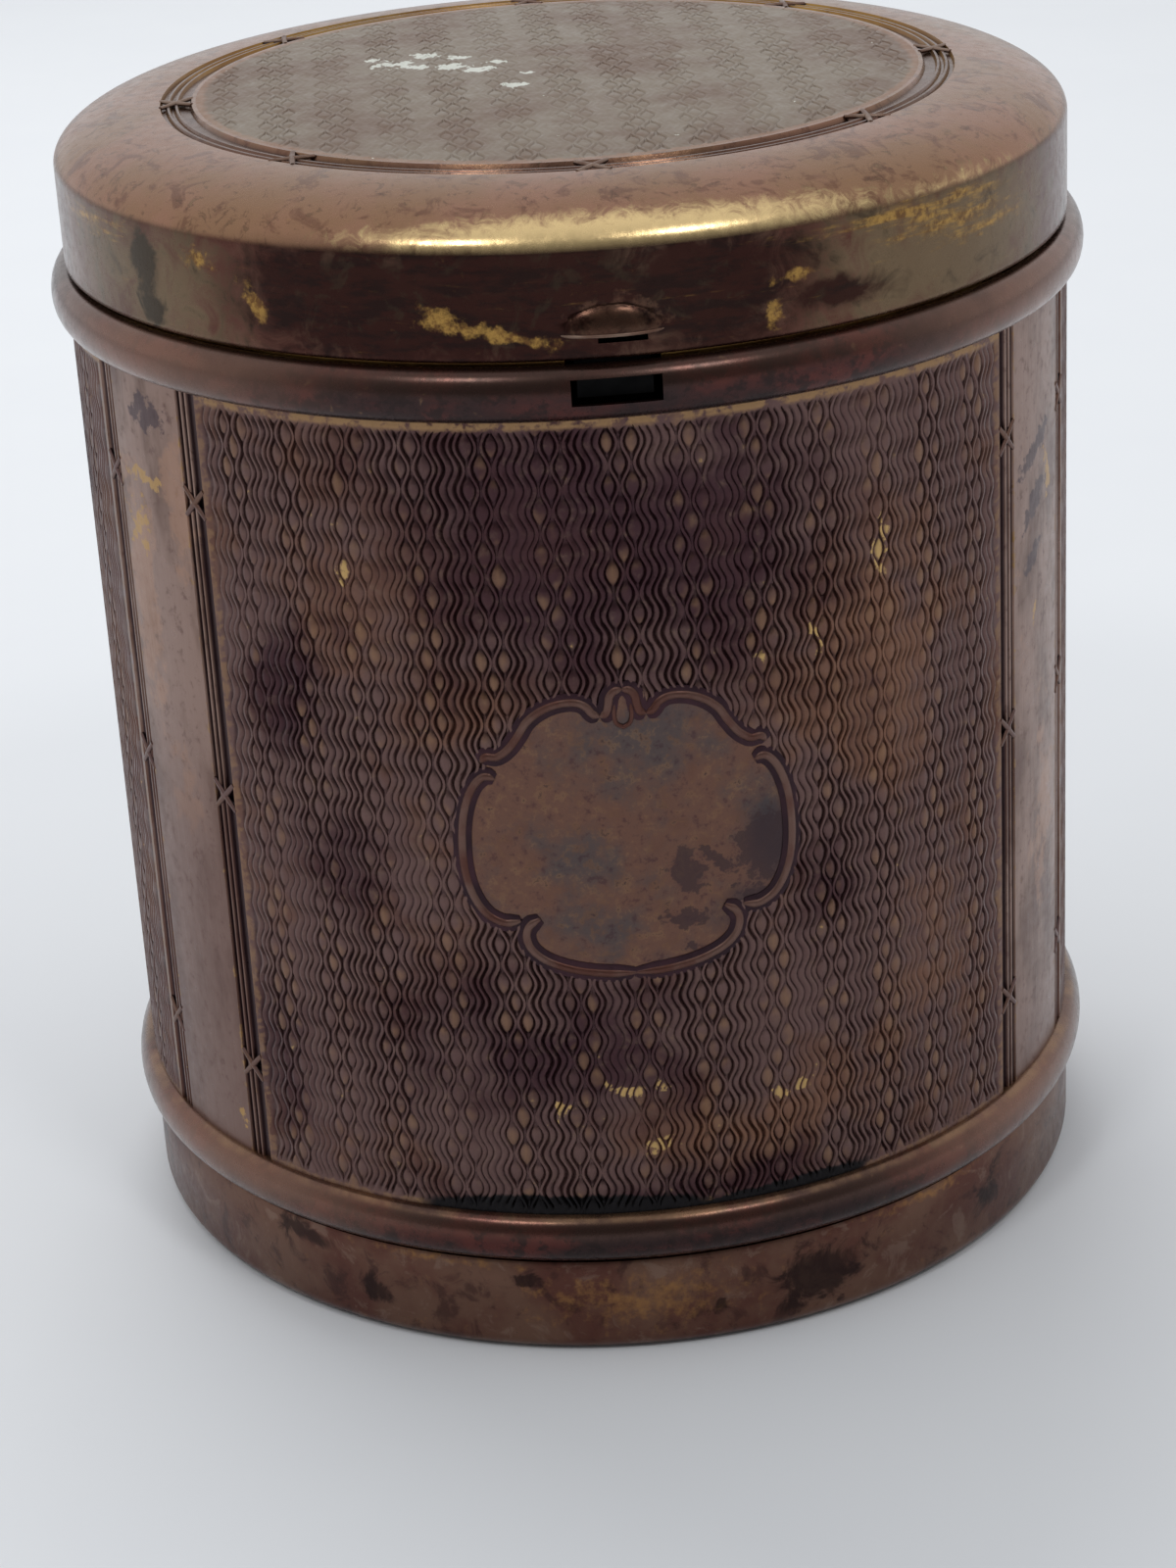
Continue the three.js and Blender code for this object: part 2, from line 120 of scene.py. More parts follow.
# Window and hinge
WINDOW = ((-2.75, -40.0, 66.75), (2.75, -33.2, 68.35))
HINGE_GAP = 7.9
GAP_TOP = 75.0
PAST_HINGE = 45.0
BARREL_BOTTOM = 68.0
BARREL_TOP = 70.5
HINGE_LEVEL = 69.25
HINGE_OUT = 34.6
HINGE_HALF = 7.0
SEAT_LAP = 0.2
SEAT_INSIDE = 33.62
SEAT_SOFT = 0.06
LEAF_SOFT = 0.09
TAB_SOFT = 0.04
KNUCKLE_SOFT = 0.08
PLATE_STEP = 0.5
KNUCKLES = 5
KNUCKLE_RADIUS = 0.95
KNUCKLE_BORE = 0.6
KNUCKLE_FIT = 0.3
TAB_GRIP = 0.06  # a leaf's tabs end this far outside the bore, in the knuckle's wall
PIN_RADIUS = 0.4
PIN_HALF = 7.3
PIN_HEAD = 0.35
LEAF_RADII = (34.3, 34.7)
BODY_LEAF = (60.5, 68.0)
LID_LEAF = (70.5, 75.3)
LEAF_RIVET_AT = 4.5
BODY_RIVET_LEVEL = 64.2
LID_RIVET_LEVEL = 74.45
RIVET_FIT = 0.3
RIVET_RADIUS = 0.45
RIVET_HEAD = 0.85
RIVET_RISE = 0.4
CATCH_RIVET_AT = 1.4
CATCH_RIVET_LEVEL = 60.55
CATCH_INSIDE = 32.12

# Engine turning: strips of wavy ridges between strips of lens-shaped seeds
WAVE_GAP = 0.5
SEED_GAP = 0.757
WALL_WAVE_GAPS = 4
LID_WAVE_GAPS = 3
LID_WAVE_DEPTH = 0.35
LID_WEAR = 0.5  # of the lid's cuts, which are worn shallower than the wall's
WAVE_LENGTH = 2.79
WAVE_SWING = 0.25
RIDGE_HALF = 0.08
CUT_DEPTH = 0.2
SEED_MOAT = 0.21  # cut between a seed and the ridges round it
LEAST_HALF = 0.02  # of a gap or a seed, so that no column folds over the next
WHOLE_CUT = 0.14  # half gap from which a cut has its whole depth
WHOLE_SEED = 0.12  # growth of a half seed until it has its whole rise
ROWS_PER_WAVE = 11
PANEL_BORDER = 0.45
PANEL_FOOT_BORDER = 0.26
PANEL_TOP_BORDER = 0.52
WANDER = 0.09  # how far a ridge strays from its line
STRAY_WAVES = ((3.7, 2.1), (1.9, 5.3))  # millimetres to a radian, and turn from one ridge to the next
LEAST_CUT = 0.55  # what is left of the cut where the sheet is most worn
WEAR_WAVES = ((5.1, 4.3), (7.7, 3.1))  # millimetres to a radian, upwards and sideways
WEAR_MEAN = 0.65
WEAR_SPREAD = 0.6
FIELD_DEPTH = -0.08  # of the bare field inside the cartouche
SEED_LEVEL = 25.0  # height of one seed of the strip beside the middle one

# Plain bands between the panels: their middles in degrees from the front, and what is engraved on them
BAND_ANGLES = (-58.65, 58.65, 180.0)
BAND_HALF = 10.1
BAND_STEPS = 14
BAND_ROW = 0.6
BAND_EDGE = 0.3  # how far the rub along a band's edges reaches
BAND_EDGE_WEAR = 0.6
LINES_WIDTH = 1.9
TIE_HEIGHTS = (17.8, 37.9, 58.2)
LID_TIES = 8

# Shading
NOISE_SPAN = (0.3, 0.7)  # where most of a noise's values lie
COAT_ROUGHNESS = 0.25
SPRING_GLOSS = 0.12

# Camera of the photograph, and the size of the picture it is worked out for
PICTURE = (1200, 1600)
FOCAL_PIXELS = 3560
CAMERA_AT = (-16.9, -233.1, 129.9)
CAMERA_PITCH = math.radians(23.8)
CAMERA_TURN = math.radians(3.99)
CAMERA_ROLL = math.radians(-3.3)
SENSOR = 36.0
NEAREST = 0.01
FLOOR_HALF = 3.0

# Lamps: name, place and aim in metres, width, power, and whether the metal mirrors them
LAMPS = (
    ("window", (-0.08, 0.35, 0.5), (0.0, 0.0, 0.04), 0.45, 1.3, False),
    ("left_lamp", (-0.25, -0.35, 0.56), (0.0, 0.0, 0.06), 0.13, 0.45, True),
    ("right_lamp", (0.2, -0.37, 0.56), (0.0, 0.0, 0.06), 0.13, 0.45, True),
)


def mesh_of(bm, name="shape"):
    mesh = bpy.data.meshes.new(name)
    bm.to_mesh(mesh)
    bm.free()
    return mesh


def linked(name, data):
    """A new object in the scene that shows a mesh, a curve, a lamp or a camera."""
    thing = bpy.data.objects.new(name, data)
    bpy.context.collection.objects.link(thing)
    return thing


def shown_mesh(thing):
    """The mesh that an object shows, with its bevel or modifiers."""
    graph = bpy.context.evaluated_depsgraph_get()
    return bpy.data.meshes.new_from_object(thing.evaluated_get(graph))


def taken(mesh, into=None):
    """A mesh's shape as a bmesh, or added to one; the mesh itself is removed."""
    bm = into or bmesh.new()
    bm.from_mesh(mesh)
    bpy.data.meshes.remove(mesh)
    return bm


def new_piece(name, bm, body, finishes, stands_for=()):
    """A finished mesh as a named piece that rides on a body."""
    mesh = mesh_of(bm, name)
    for finish in finishes:
        mesh.materials.append(finish)
    smooth(mesh)
    piece = linked(name, mesh)
    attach(piece, body)
    if stands_for:
        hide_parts(*stands_for)
    return piece


def smooth(mesh):
    for polygon in mesh.polygons:
        polygon.use_smooth = True
    mesh.set_sharp_from_angle(angle=SMOOTH_BELOW)


def merge(bm):
    """Merges vertices that share a place and turns the faces outwards."""
    bmesh.ops.remove_doubles(bm, verts=bm.verts, dist=MERGE * MM)
    bmesh.ops.recalc_face_normals(bm, faces=bm.faces)


def open_edges(bm):
    return [e for e in bm.edges if e.is_boundary]


def close_holes(bm):
    """Fills the open loops and turns the faces outwards."""
    bmesh.ops.holes_fill(bm, edges=open_edges(bm), sides=0)
    bmesh.ops.recalc_face_normals(bm, faces=bm.faces)


def extruded(bm, edges):
    """The new vertices of an extruded edge loop, still in the loop's place."""
    made = bmesh.ops.extrude_edge_only(bm, edges=edges)["geom"]
    return [g for g in made if isinstance(g, bmesh.types.BMVert)]


def spun(profile, centre=(0, 0, 0), axis=(0, 0, 1), side=(0, -1, 0), steps=ROUND_STEPS):
    """A profile of (radius, height) points spun round an axis; it is closed or ends on the axis."""
    bm = bmesh.new()
    start, along, out = Vector(centre), Vector(axis), Vector(side)
    verts = [bm.verts.new((start + out * r + along * h) * MM) for r, h in profile]
    edges = [bm.edges.new(pair) for pair in zip(verts, verts[1:])]
    if profile[0][0] > 0:
        edges.append(bm.edges.new((verts[-1], verts[0])))
    bmesh.ops.spin(
        bm, geom=verts + edges, cent=start * MM, axis=along, angle=math.tau, steps=steps, use_merge=True
    )
    merge(bm)
    return bm


def arc_points(centre, radii, start, end, steps):
    """Points of an ellipse's arc between two angles in degrees."""
    points = []
    for i in range(steps + 1):
        turn = math.radians(start + (end - start) * i / steps)
        points.append((centre[0] + radii[0] * math.cos(turn), centre[1] + radii[1] * math.sin(turn)))
    return points


def bead_points(radius, span, steps=BEAD_STEPS):
    middle = (span[0] + span[1]) / 2
    half = (span[1] - span[0]) / 2
    return arc_points((radius, middle), (BEAD_PROUD, half), -90, 90, steps)


def on_wall(angle, radius, z):
    """A place on the tin from its angle to the front in radians, its radius and its height."""
    return Vector((radius * math.sin(angle), -radius * math.cos(angle), z)) * MM


def ridge_lines(half, wave_gaps):
    """Places and signs of the wavy ridges across a sheet, outwards from a seed in its middle."""
    places = [SEED_GAP / 2]
    signs = [1]
    for gap in itertools.cycle([SEED_GAP] + [WAVE_GAP] * wave_gaps + [SEED_GAP] * 2):
        if places[-1] + gap > half:
            break
        places.append(places[-1] + gap)
        signs.append(-signs[-1] if gap == SEED_GAP else signs[-1])
    right = list(zip(places, signs))
    return [(-place, -sign) for place, sign in reversed(right)] + right


# Columns of the engine-turned grid, from one ridge to the next: how far each lies from the middle of
# the gap, in half gaps and in half seeds, how much of the cut it has, and how much of the seed's rise
RIDGE_SIDE = (-1.0, 0.0, 0.0, 0.0)
NEXT_RIDGE_SIDE = (1.0, 0.0, 0.0, 0.0)
WAVE_COLUMNS = (RIDGE_SIDE, (0.0, 0.0, 1.0, 0.0), NEXT_RIDGE_SIDE)
SEED_COLUMNS = (
    RIDGE_SIDE, (-0.5, -0.5, 1.0, 0.0), (0.0, -1.0, 1.0, 0.6), (0.0, 0.0, 1.0, 1.0),
    (0.0, 1.0, 1.0, 0.6), (0.5, 0.5, 1.0, 0.0), NEXT_RIDGE_SIDE,
)


def strayed(ridge, up):
    """How far a ridge strays sideways at a height."""
    return WANDER * sum(np.sin(up / length + turn * ridge) for length, turn in STRAY_WAVES) / 2


def worn_depth(side, up):
    """How much of the cut the wear has left, in slow patches."""
    (rising, rising_side), (falling, falling_side) = WEAR_WAVES
    patches = np.sin(up / rising + side / rising_side) * np.sin(side / falling_side - up / falling)
    return LEAST_CUT + (1 - LEAST_CUT) * np.clip(WEAR_MEAN + WEAR_SPREAD * patches, 0.0, 1.0)


def column_grid(columns, rows):
    """A flat grid, with each vertex's column and its share of the way up."""
    bm = bmesh.new()
    bmesh.ops.create_grid(bm, x_segments=columns - 1, y_segments=rows, size=1.0)
    flat = np.array([v.co[:2] for v in bm.verts])
    column = np.rint((flat[:, 0] + 1) / 2 * (columns - 1)).astype(int)
    return bm, column, (flat[:, 1] + 1) / 2


def engine_turned_sheet(across, along, wave_gaps, phase, wave_depth=1.0):
    """A flat grid whose columns follow the ridges, with each vertex's place, height and relief."""
    edge = across / 2
    border = edge - PANEL_BORDER
    guides = [(-border, 0)] + ridge_lines(border - WAVE_SWING - 2 * RIDGE_HALF, wave_gaps) + [(border, 0)]
    columns = []
    for i, (guide, next_guide) in enumerate(zip(guides, guides[1:])):
        between_seeds = guide[1] * next_guide[1] >= 0
        shape = WAVE_COLUMNS if between_seeds else SEED_COLUMNS
        share = wave_depth if between_seeds else 1.0
        columns += [(i, to_side, to_edge, share * cut, rise) for to_side, to_edge, cut, rise in shape]
    columns = [columns[0]] + columns + [columns[-1]]

    bm, column, level = column_grid(len(columns), round(along / WAVE_LENGTH * ROWS_PER_WAVE))
    up = level * along
    number, gap_share, seed_share, cut, rise = np.array(columns)[column].T
    places, signs = np.array(guides).T
    swing = WAVE_SWING * np.sin(math.tau / WAVE_LENGTH * up + phase)
    first = number.astype(int)
    following = first + 1
    is_ridge = np.abs(signs)
    low = places[first] + signs[first] * swing + is_ridge[first] * (RIDGE_HALF + strayed(first, up))
    high = places[following] + signs[following] * swing
    high += is_ridge[following] * (strayed(following, up) - RIDGE_HALF)
    half = np.maximum((high - low) / 2, LEAST_HALF)
    seed = np.maximum(half - SEED_MOAT, LEAST_HALF)
    side = (low + high) / 2 + half * gap_share + seed * seed_share
    side[column == 0] = -edge
    side[column == len(columns) - 1] = edge
    deep = np.clip(half / WHOLE_CUT, 0.0, 1.0)
    grown = np.clip((seed - LEAST_HALF) / WHOLE_SEED, 0.0, 1.0)
    height = CUT_DEPTH * (rise * grown - cut * deep) * worn_depth(side, up)
    return bm, side, up, height, rise * grown


def smooth_path(points, steps=6):
    """A finer path through the points, as a chain of Catmull-Rom arcs."""
    ends = [points[0]] + list(points) + [points[-1]]
    path = []
    for i in range(1, len(ends) - 2):
        p0, p1, p2, p3 = (np.array(ends[k]) for k in range(i - 1, i + 3))
        for step in range(steps):
            t = step / steps
            bend = (2 * p0 - 5 * p1 + 4 * p2 - p3) * t * t + (3 * p1 - p0 - 3 * p2 + p3) * t**3
            path.append(tuple((2 * p1 + (p2 - p0) * t + bend) / 2))
    path.append(tuple(points[-1]))
    return path


# Scrolls of the front cartouche, right half: millimetres round the wall from the front, and height
CARTOUCHE_TOP = (
    (1.45, 46.3), (1.9, 46.55), (2.25, 47.0), (2.8, 47.3), (3.5, 47.35), (4.3, 47.2), (5.2, 46.8),
    (6.05, 46.1), (6.65, 45.15), (7.3, 44.3), (8.05, 43.75), (8.75, 43.75), (9.1, 43.35),
)
CARTOUCHE_SIDE = (
    (8.3, 42.2), (8.9, 42.4), (9.55, 41.9), (10.1, 40.9), (10.5, 39.5), (10.68, 37.8), (10.65, 36.1),
    (10.4, 34.7), (9.9, 33.5), (9.2, 32.65), (8.2, 32.2), (7.2, 32.35),
)
CARTOUCHE_FOOT = (
    (5.95, 32.5), (6.65, 32.0), (6.9, 31.2), (6.55, 30.25), (5.55, 29.45), (3.95, 28.85), (1.95, 28.5),
    (0.0, 28.4),
)
CARTOUCHE_CROWN = (
    (0.0, 48.05), (0.45, 47.97), (0.78, 47.6), (0.9, 47.0), (1.06, 46.52), (1.45, 46.3),
)
CARTOUCHE_DROP = ((0.5, 47.2), (0.56, 46.4), (0.42, 45.78), (0.0, 45.5))
CARTOUCHE_AT = -0.6  # millimetres round the wall, a little left of the window
FRAME_WIDTH = 0.6
FRAME_RISE = 0.22
FRAME_BED_WIDTH = 1.3  # of the dark bed that shows on both sides of a line of the frame: the grooves' dark patina and their painted shade
FRAME_BED_RISE = 0.1
LINE_TAPER = 0.4  # width at a raised line's ends, as a share
FRAME_BED_TAPER = 0.6
DROP_WIDTH = 0.3
DROP_RISE = 0.14
RIBBON_WIDTH = 0.46
RIBBON_RISE = 0.17
RIBBON_TAPER = 0.75
TAPER_POINTS = 4
LINE_FOOT = 0.35  # relief of a raised line where it meets the sheet
LET_IN = 0.06  # how far raised lines and the medallion's back are let into the sheet


def cartouche_outline():
    """The closed outline of the bare field, right half and its mirror image."""
    parts = (CARTOUCHE_CROWN, CARTOUCHE_TOP[1:], CARTOUCHE_SIDE, CARTOUCHE_FOOT)
    right = [point for points in parts for point in smooth_path(points)]
    left = [(-x, z) for x, z in reversed(right[1:-1])]
    return np.array(right + left) + (CARTOUCHE_AT, 0.0)


def frame_lines():
    """The lines of the frame, both halves."""
    parts = (CARTOUCHE_TOP, CARTOUCHE_SIDE, CARTOUCHE_FOOT, CARTOUCHE_CROWN)
    right = [smooth_path(points) for points in parts]
    lines = right + [[(-x, z) for x, z in line] for line in right]
    return [[(x + CARTOUCHE_AT, z) for x, z in line] for line in lines]


def inside(outline, x, z):
    """Which of the points lie inside a closed outline."""
    hit = np.zeros(len(x), bool)
    ends = np.roll(outline, -1, axis=0)
    for (x0, z0), (x1, z1) in zip(outline, ends):
        crosses = (z0 > z) != (z1 > z)
        if z1 != z0:
            hit ^= crosses & (x < (x1 - x0) * (z - z0) / (z1 - z0) + x0)
    return hit


def close_skin(bm):
    """Gives an open skin on the wall its edges and its back."""
    for pick in (max, min):
        level = pick(v.co.z for v in bm.verts)
        rim = [e for e in open_edges(bm) if all(abs(v.co.z - level) < SAME_LEVEL * MM for v in e.verts)]
        for vert in extruded(bm, rim):
            flat = vert.co.xy.normalized() * SKIN_BACK * MM
            vert.co = Vector((flat.x, flat.y, level))
    out = SKIN_BACK * MM
    near = 2 * SAME_LEVEL * MM
    back = [e for e in open_edges(bm) if all(abs(v.co.xy.length - out) < near for v in e.verts)]
    bmesh.ops.bridge_loops(bm, edges=back)
    close_holes(bm)


def lay_on_wall(bm, angle, z, height):
    """Bends a flat grid round the wall, each vertex at its angle, level and height."""
    for vert, turn, level, lift in zip(bm.verts, angle, z, height):
        vert.co = on_wall(turn, WALL_RADIUS + lift, level)


def set_layers(bm, **layers):
    """Writes each list of numbers as a float attribute of the vertices, in their order."""
    for name, values in layers.items():
        layer = bm.verts.layers.float.new(name)
        for vert, value in zip(bm.verts, values):
            vert[layer] = value


def engraved_panel(name, start, end, finishes):
    """An engine-turned panel between two angles, as a closed plate; a second finish is its field's."""
    along = UPPER_BEAD[0] - LOWER_BEAD[1]
    across = math.radians(end - start) * WALL_RADIUS
    phase = -math.pi / 2 - math.tau / WAVE_LENGTH * (SEED_LEVEL - LOWER_BEAD[1])
    bm, side, up, height, seed = engine_turned_sheet(across, along, WALL_WAVE_GAPS, phase)
    angle = math.radians(start + end) / 2 + side / WALL_RADIUS
    z = LOWER_BEAD[1] + up
    to_side = across / 2 - np.abs(side)
    border = (to_side < PANEL_BORDER) | (up < PANEL_FOOT_BORDER) | (along - up < PANEL_TOP_BORDER)
    height = np.where(border, 0.0, height)
    field = np.zeros(len(z), bool)
    if len(finishes) > 1:
        field = inside(cartouche_outline(), angle * WALL_RADIUS, z)
    height = np.where(field, FIELD_DEPTH, height)
    lay_on_wall(bm, angle, z, height)
    relief = np.where(field, 1.0, 1 + height / CUT_DEPTH)
    set_layers(bm, relief=relief, seed=np.where(field, 0.0, seed), border=border.astype(float))
    for face in bm.faces:
        face.material_index = int(all(field[v.index] for v in face.verts))
    close_skin(bm)
    new_piece(name, bm, "tin", finishes)


# Section of the engraved lines at a band's edge: millimetres from the band's plain part, depth, relief
LINE_SECTION = (
    (0.0, 0.0, 1.0), (0.1, -0.26, 0.0), (0.3, -0.26, 0.0), (0.42, -0.05, 0.8), (0.56, -0.05, 0.8),
    (0.66, -0.26, 0.0), (0.8, -0.26, 0.0), (0.92, -0.05, 0.8), (1.06, -0.05, 0.8), (1.16, -0.28, 0.0),
    (1.76, -0.28, 0.0), (LINES_WIDTH, 0.0, 1.0),
)


def engraved_band(name, middle, finish):
    """A plain band with its engraved lines, as a closed curved plate."""
    half = math.radians(BAND_HALF) * WALL_RADIUS
    plain = half - LINES_WIDTH
    columns = [(-plain - at, depth, relief) for at, depth, relief in reversed(LINE_SECTION)]
    columns += [(-plain + 2 * plain * i / BAND_STEPS, 0.0, 1.0) for i in range(1, BAND_STEPS)]
    columns += [(plain + at, depth, relief) for at, depth, relief in LINE_SECTION]
    along = UPPER_BEAD[0] - LOWER_BEAD[1]
    bm, column, level = column_grid(len(columns), round(along / BAND_ROW))
    side, depth, relief = np.array(columns)[column].T
    lay_on_wall(bm, math.radians(middle) + side / WALL_RADIUS, LOWER_BEAD[1] + level * along, depth)
    edge = np.exp(-((np.abs(np.abs(side) - plain) / BAND_EDGE) ** 2)) * (depth == 0.0)
    set_layers(bm, relief=relief, border=BAND_EDGE_WEAR * edge)
    close_skin(bm)
    new_piece(name, bm, "tin", [finish])


def ridges(paths, width, height, place, taper=LINE_TAPER):
    """Low rounded ridges along flat paths: round wires, flattened and laid on a surface by place."""
    wires = bpy.data.curves.new("wires", "CURVE")
    wires.dimensions = "3D"
    wires.bevel_depth = width / 2
    wires.bevel_resolution = 3
    wires.use_fill_caps = True
    for path in paths:
        spline = wires.splines.new("POLY")
        spline.points.add(len(path) - 1)
        for i, (point, (across, up)) in enumerate(zip(spline.points, path)):
            point.co = (across, 0.0, up, 1.0)
            to_end = min(i, len(path) - 1 - i)
            point.radius = min(1.0, taper + (1 - taper) * to_end / TAPER_POINTS)
    wire = linked("wires", wires)
    bm = taken(shown_mesh(wire))
    bpy.data.objects.remove(wire)
    bpy.data.curves.remove(wires)
    relief = bm.verts.layers.float.new("relief")
    for vert in bm.verts:
        lift = -vert.co.y / (width / 2) * height
        vert[relief] = LINE_FOOT + (1 - LINE_FOOT) * max(0.0, lift / height)
        vert.co = place(vert.co.x, vert.co.z, lift)
    merge(bm)
    return bm


def joined(first, second):
    """The second bmesh added to the first."""
    return taken(mesh_of(second), first)


def place_on_wall(across, up, lift):
    return on_wall(across / WALL_RADIUS, WALL_RADIUS - LET_IN + lift, up)


def place_on_lid(across, out, lift):
    turn = across / RING_OUT
    return Vector((out * math.sin(turn), -out * math.cos(turn), crown_height(out) - LET_IN + lift)) * MM


def cartouche_frame(finish, bed_finish):
    """The scrolled frame round the bare field on a dark bed, which stands for the grooves beside its lines
    with their dark patina and painted shade, with a small drop hanging in its crown.
    """
    bed = ridges(frame_lines(), FRAME_BED_WIDTH, FRAME_BED_RISE, place_on_wall, FRAME_BED_TAPER)
    new_piece("cartouche_shade_bed", bed, "tin", [bed_finish])
    drop = smooth_path(CARTOUCHE_DROP)
    drop += [(-x, z) for x, z in reversed(drop[:-1])]
    drop = [(x + CARTOUCHE_AT, z) for x, z in drop]
    bm = ridges(frame_lines(), FRAME_WIDTH, FRAME_RISE, place_on_wall)
    bm = joined(bm, ridges([drop], DROP_WIDTH, DROP_RISE, place_on_wall))
    new_piece("cartouche_frame", bm, "tin", [finish])


def crossed(at, level, reach):
    """The two strokes of a crossed ribbon."""
    return [
        [(at + reach * t, level + slope * reach * t) for t in np.linspace(-1, 1, 9)] for slope in (-1, 1)
    ]


def wall_ties(finish):
    """Crossed ribbons that bind the engraved lines, three to each group of lines."""
    reach = LINES_WIDTH / 2
    strokes = []
    for middle, side, level in itertools.product(BAND_ANGLES, (-1, 1), TIE_HEIGHTS):
        at = math.radians(middle + side * BAND_HALF) * WALL_RADIUS - side * reach
        strokes += crossed(at, level, reach)
    bm = ridges(strokes, RIBBON_WIDTH, RIBBON_RISE, place_on_wall, RIBBON_TAPER)
    new_piece("wall_ties", bm, "tin", [finish])


def lid_ties(finish):
    """Crossed ribbons round the ring on the lid."""
    reach = (RING_OUT - RING_IN) / 2
    strokes = []
    for i in range(LID_TIES):
        strokes += crossed(math.tau * i / LID_TIES * RING_OUT, RING_OUT - reach, reach)
    bm = ridges(strokes, RIBBON_WIDTH, RIBBON_RISE, place_on_lid, RIBBON_TAPER)
    new_piece("lid_ties", bm, "lid", [finish])


def boolean(piece, bm, operation):
    """Joins or cuts a piece with a closed shape and keeps the result as its mesh."""
    shape = linked("shape", mesh_of(bm))
    modifier = piece.modifiers.new("cut", "BOOLEAN")
    modifier.operation = operation
    modifier.solver = "EXACT"
    modifier.object = shape
    result = shown_mesh(piece)
    piece.modifiers.clear()
    old = piece.data
    piece.data = result
    bpy.data.meshes.remove(old)
    bpy.data.meshes.remove(shape.data)
    smooth(result)


def block(low, high):
    """A closed box between two corners in millimetres."""
    bm = bmesh.new()
    bmesh.ops.create_cube(bm, size=1.0)
    size = Vector(high) - Vector(low)
    bmesh.ops.scale(bm, vec=size * MM, verts=bm.verts)
    bmesh.ops.translate(bm, vec=(Vector(low) + Vector(high)) / 2 * MM, verts=bm.verts)
    return bm


def bent_plate(across, levels, radii, soft, into=None):
    """A plate with softened edges, bent round the back of the tin."""
    bm = into or bmesh.new()
    made = bmesh.ops.create_cube(bm, size=1.0)["verts"]
    size = Vector((across[1] - across[0], radii[1] - radii[0], levels[1] - levels[0]))
    middle = Vector(((across[0] + across[1]) / 2, (radii[0] + radii[1]) / 2, (levels[0] + levels[1]) / 2))
    bmesh.ops.scale(bm, vec=size, verts=made)
    bmesh.ops.translate(bm, vec=middle, verts=made)
    edges = list({e for v in made for e in v.link_edges})
    rounded = bmesh.ops.bevel(
        bm, geom=edges, offset=soft, segments=2, profile=0.5, affect="EDGES", material=-1
    )
    faces = set(rounded["faces"]) | {f for v in rounded["verts"] for f in v.link_faces}
    geom = list(faces | {e for f in faces for e in f.edges} | {v for f in faces for v in f.verts})
    steps = max(2, round(size.x / PLATE_STEP))
    for i in range(1, steps):
        cut_at = (across[0] + size.x * i / steps, 0, 0)
        geom = bmesh.ops.bisect_plane(bm, geom=geom, plane_co=cut_at, plane_no=(1, 0, 0))["geom"]
    for vert in {g for g in geom if isinstance(g, bmesh.types.BMVert)}:
        turn = vert.co.x / radii[1]
        vert.co = Vector((vert.co.y * math.sin(turn), vert.co.y * math.cos(turn), vert.co.z)) * MM
    return bm


def mark_inside(piece, middle):
    """Gives the faces that look into the tin the piece's second finish."""
    for polygon in piece.data.polygons:
        out = polygon.center.xy
        if out.length > NECK_INSIDE * MM:
            looks_in = polygon.normal.xy.dot(out.normalized()) < LOOKS_IN
        else:
            looks_in = polygon.normal.dot(Vector(middle) * MM - polygon.center) > 0
        if looks_in:
            polygon.material_index = 1


def wall_shell(finish, lining):
    """The rolled wall with both beads, behind the engraved skins."""
    inner = WALL_RADIUS - SHEET
    profile = [(WALL_FOOT, BASE_EDGE), (WALL_FOOT, LOWER_BEAD[0] - FLARE_UP)]
    profile += [(WALL_FOOT + FLARE_OUT, LOWER_BEAD[0])]
    profile += bead_points(WALL_RADIUS, LOWER_BEAD)
    profile += [(CORE_RADIUS, LOWER_BEAD[1] + BEAD_STEP), (CORE_RADIUS, UPPER_BEAD[0] - BEAD_STEP)]
    profile += bead_points(WALL_RADIUS, UPPER_BEAD)
    profile += [(inner, UPPER_BEAD[1])]
    upper = (UPPER_BEAD[0] + BEAD_INSET, UPPER_BEAD[1] - BEAD_INSET)
    lower = (LOWER_BEAD[0] + SHEET, LOWER_BEAD[1] - BEAD_INSET)
    profile += reversed(bead_points(inner, upper, INNER_BEAD_STEPS))
    profile += reversed(bead_points(inner, lower, INNER_BEAD_STEPS))
    profile += [(WALL_FOOT - SHEET, LOWER_BEAD[0] + SHEET), (WALL_FOOT - SHEET, BASE_EDGE)]
    bm = spun(profile)
    piece = new_piece("wall_shell", bm, "tin", [finish, lining], ["body_wall"])
    mark_inside(piece, TIN_MIDDLE)
    boolean(piece, block(*WINDOW), "DIFFERENCE")
    gap = block((-HINGE_GAP, 0.0, UPPER_BEAD[0]), (HINGE_GAP, PAST_HINGE, GAP_TOP))
    boolean(piece, gap, "DIFFERENCE")


def hinge_seat(finish):
    """The plain wall that stands in the bead's gap under the hinge."""
    seat = HINGE_GAP + SEAT_LAP
    levels = (UPPER_BEAD[0] - SEAT_LAP, BARREL_BOTTOM)
    bm = bent_plate((-seat, seat), levels, (SEAT_INSIDE, WALL_RADIUS), SEAT_SOFT)
    new_piece("hinge_seat", bm, "tin", [finish])


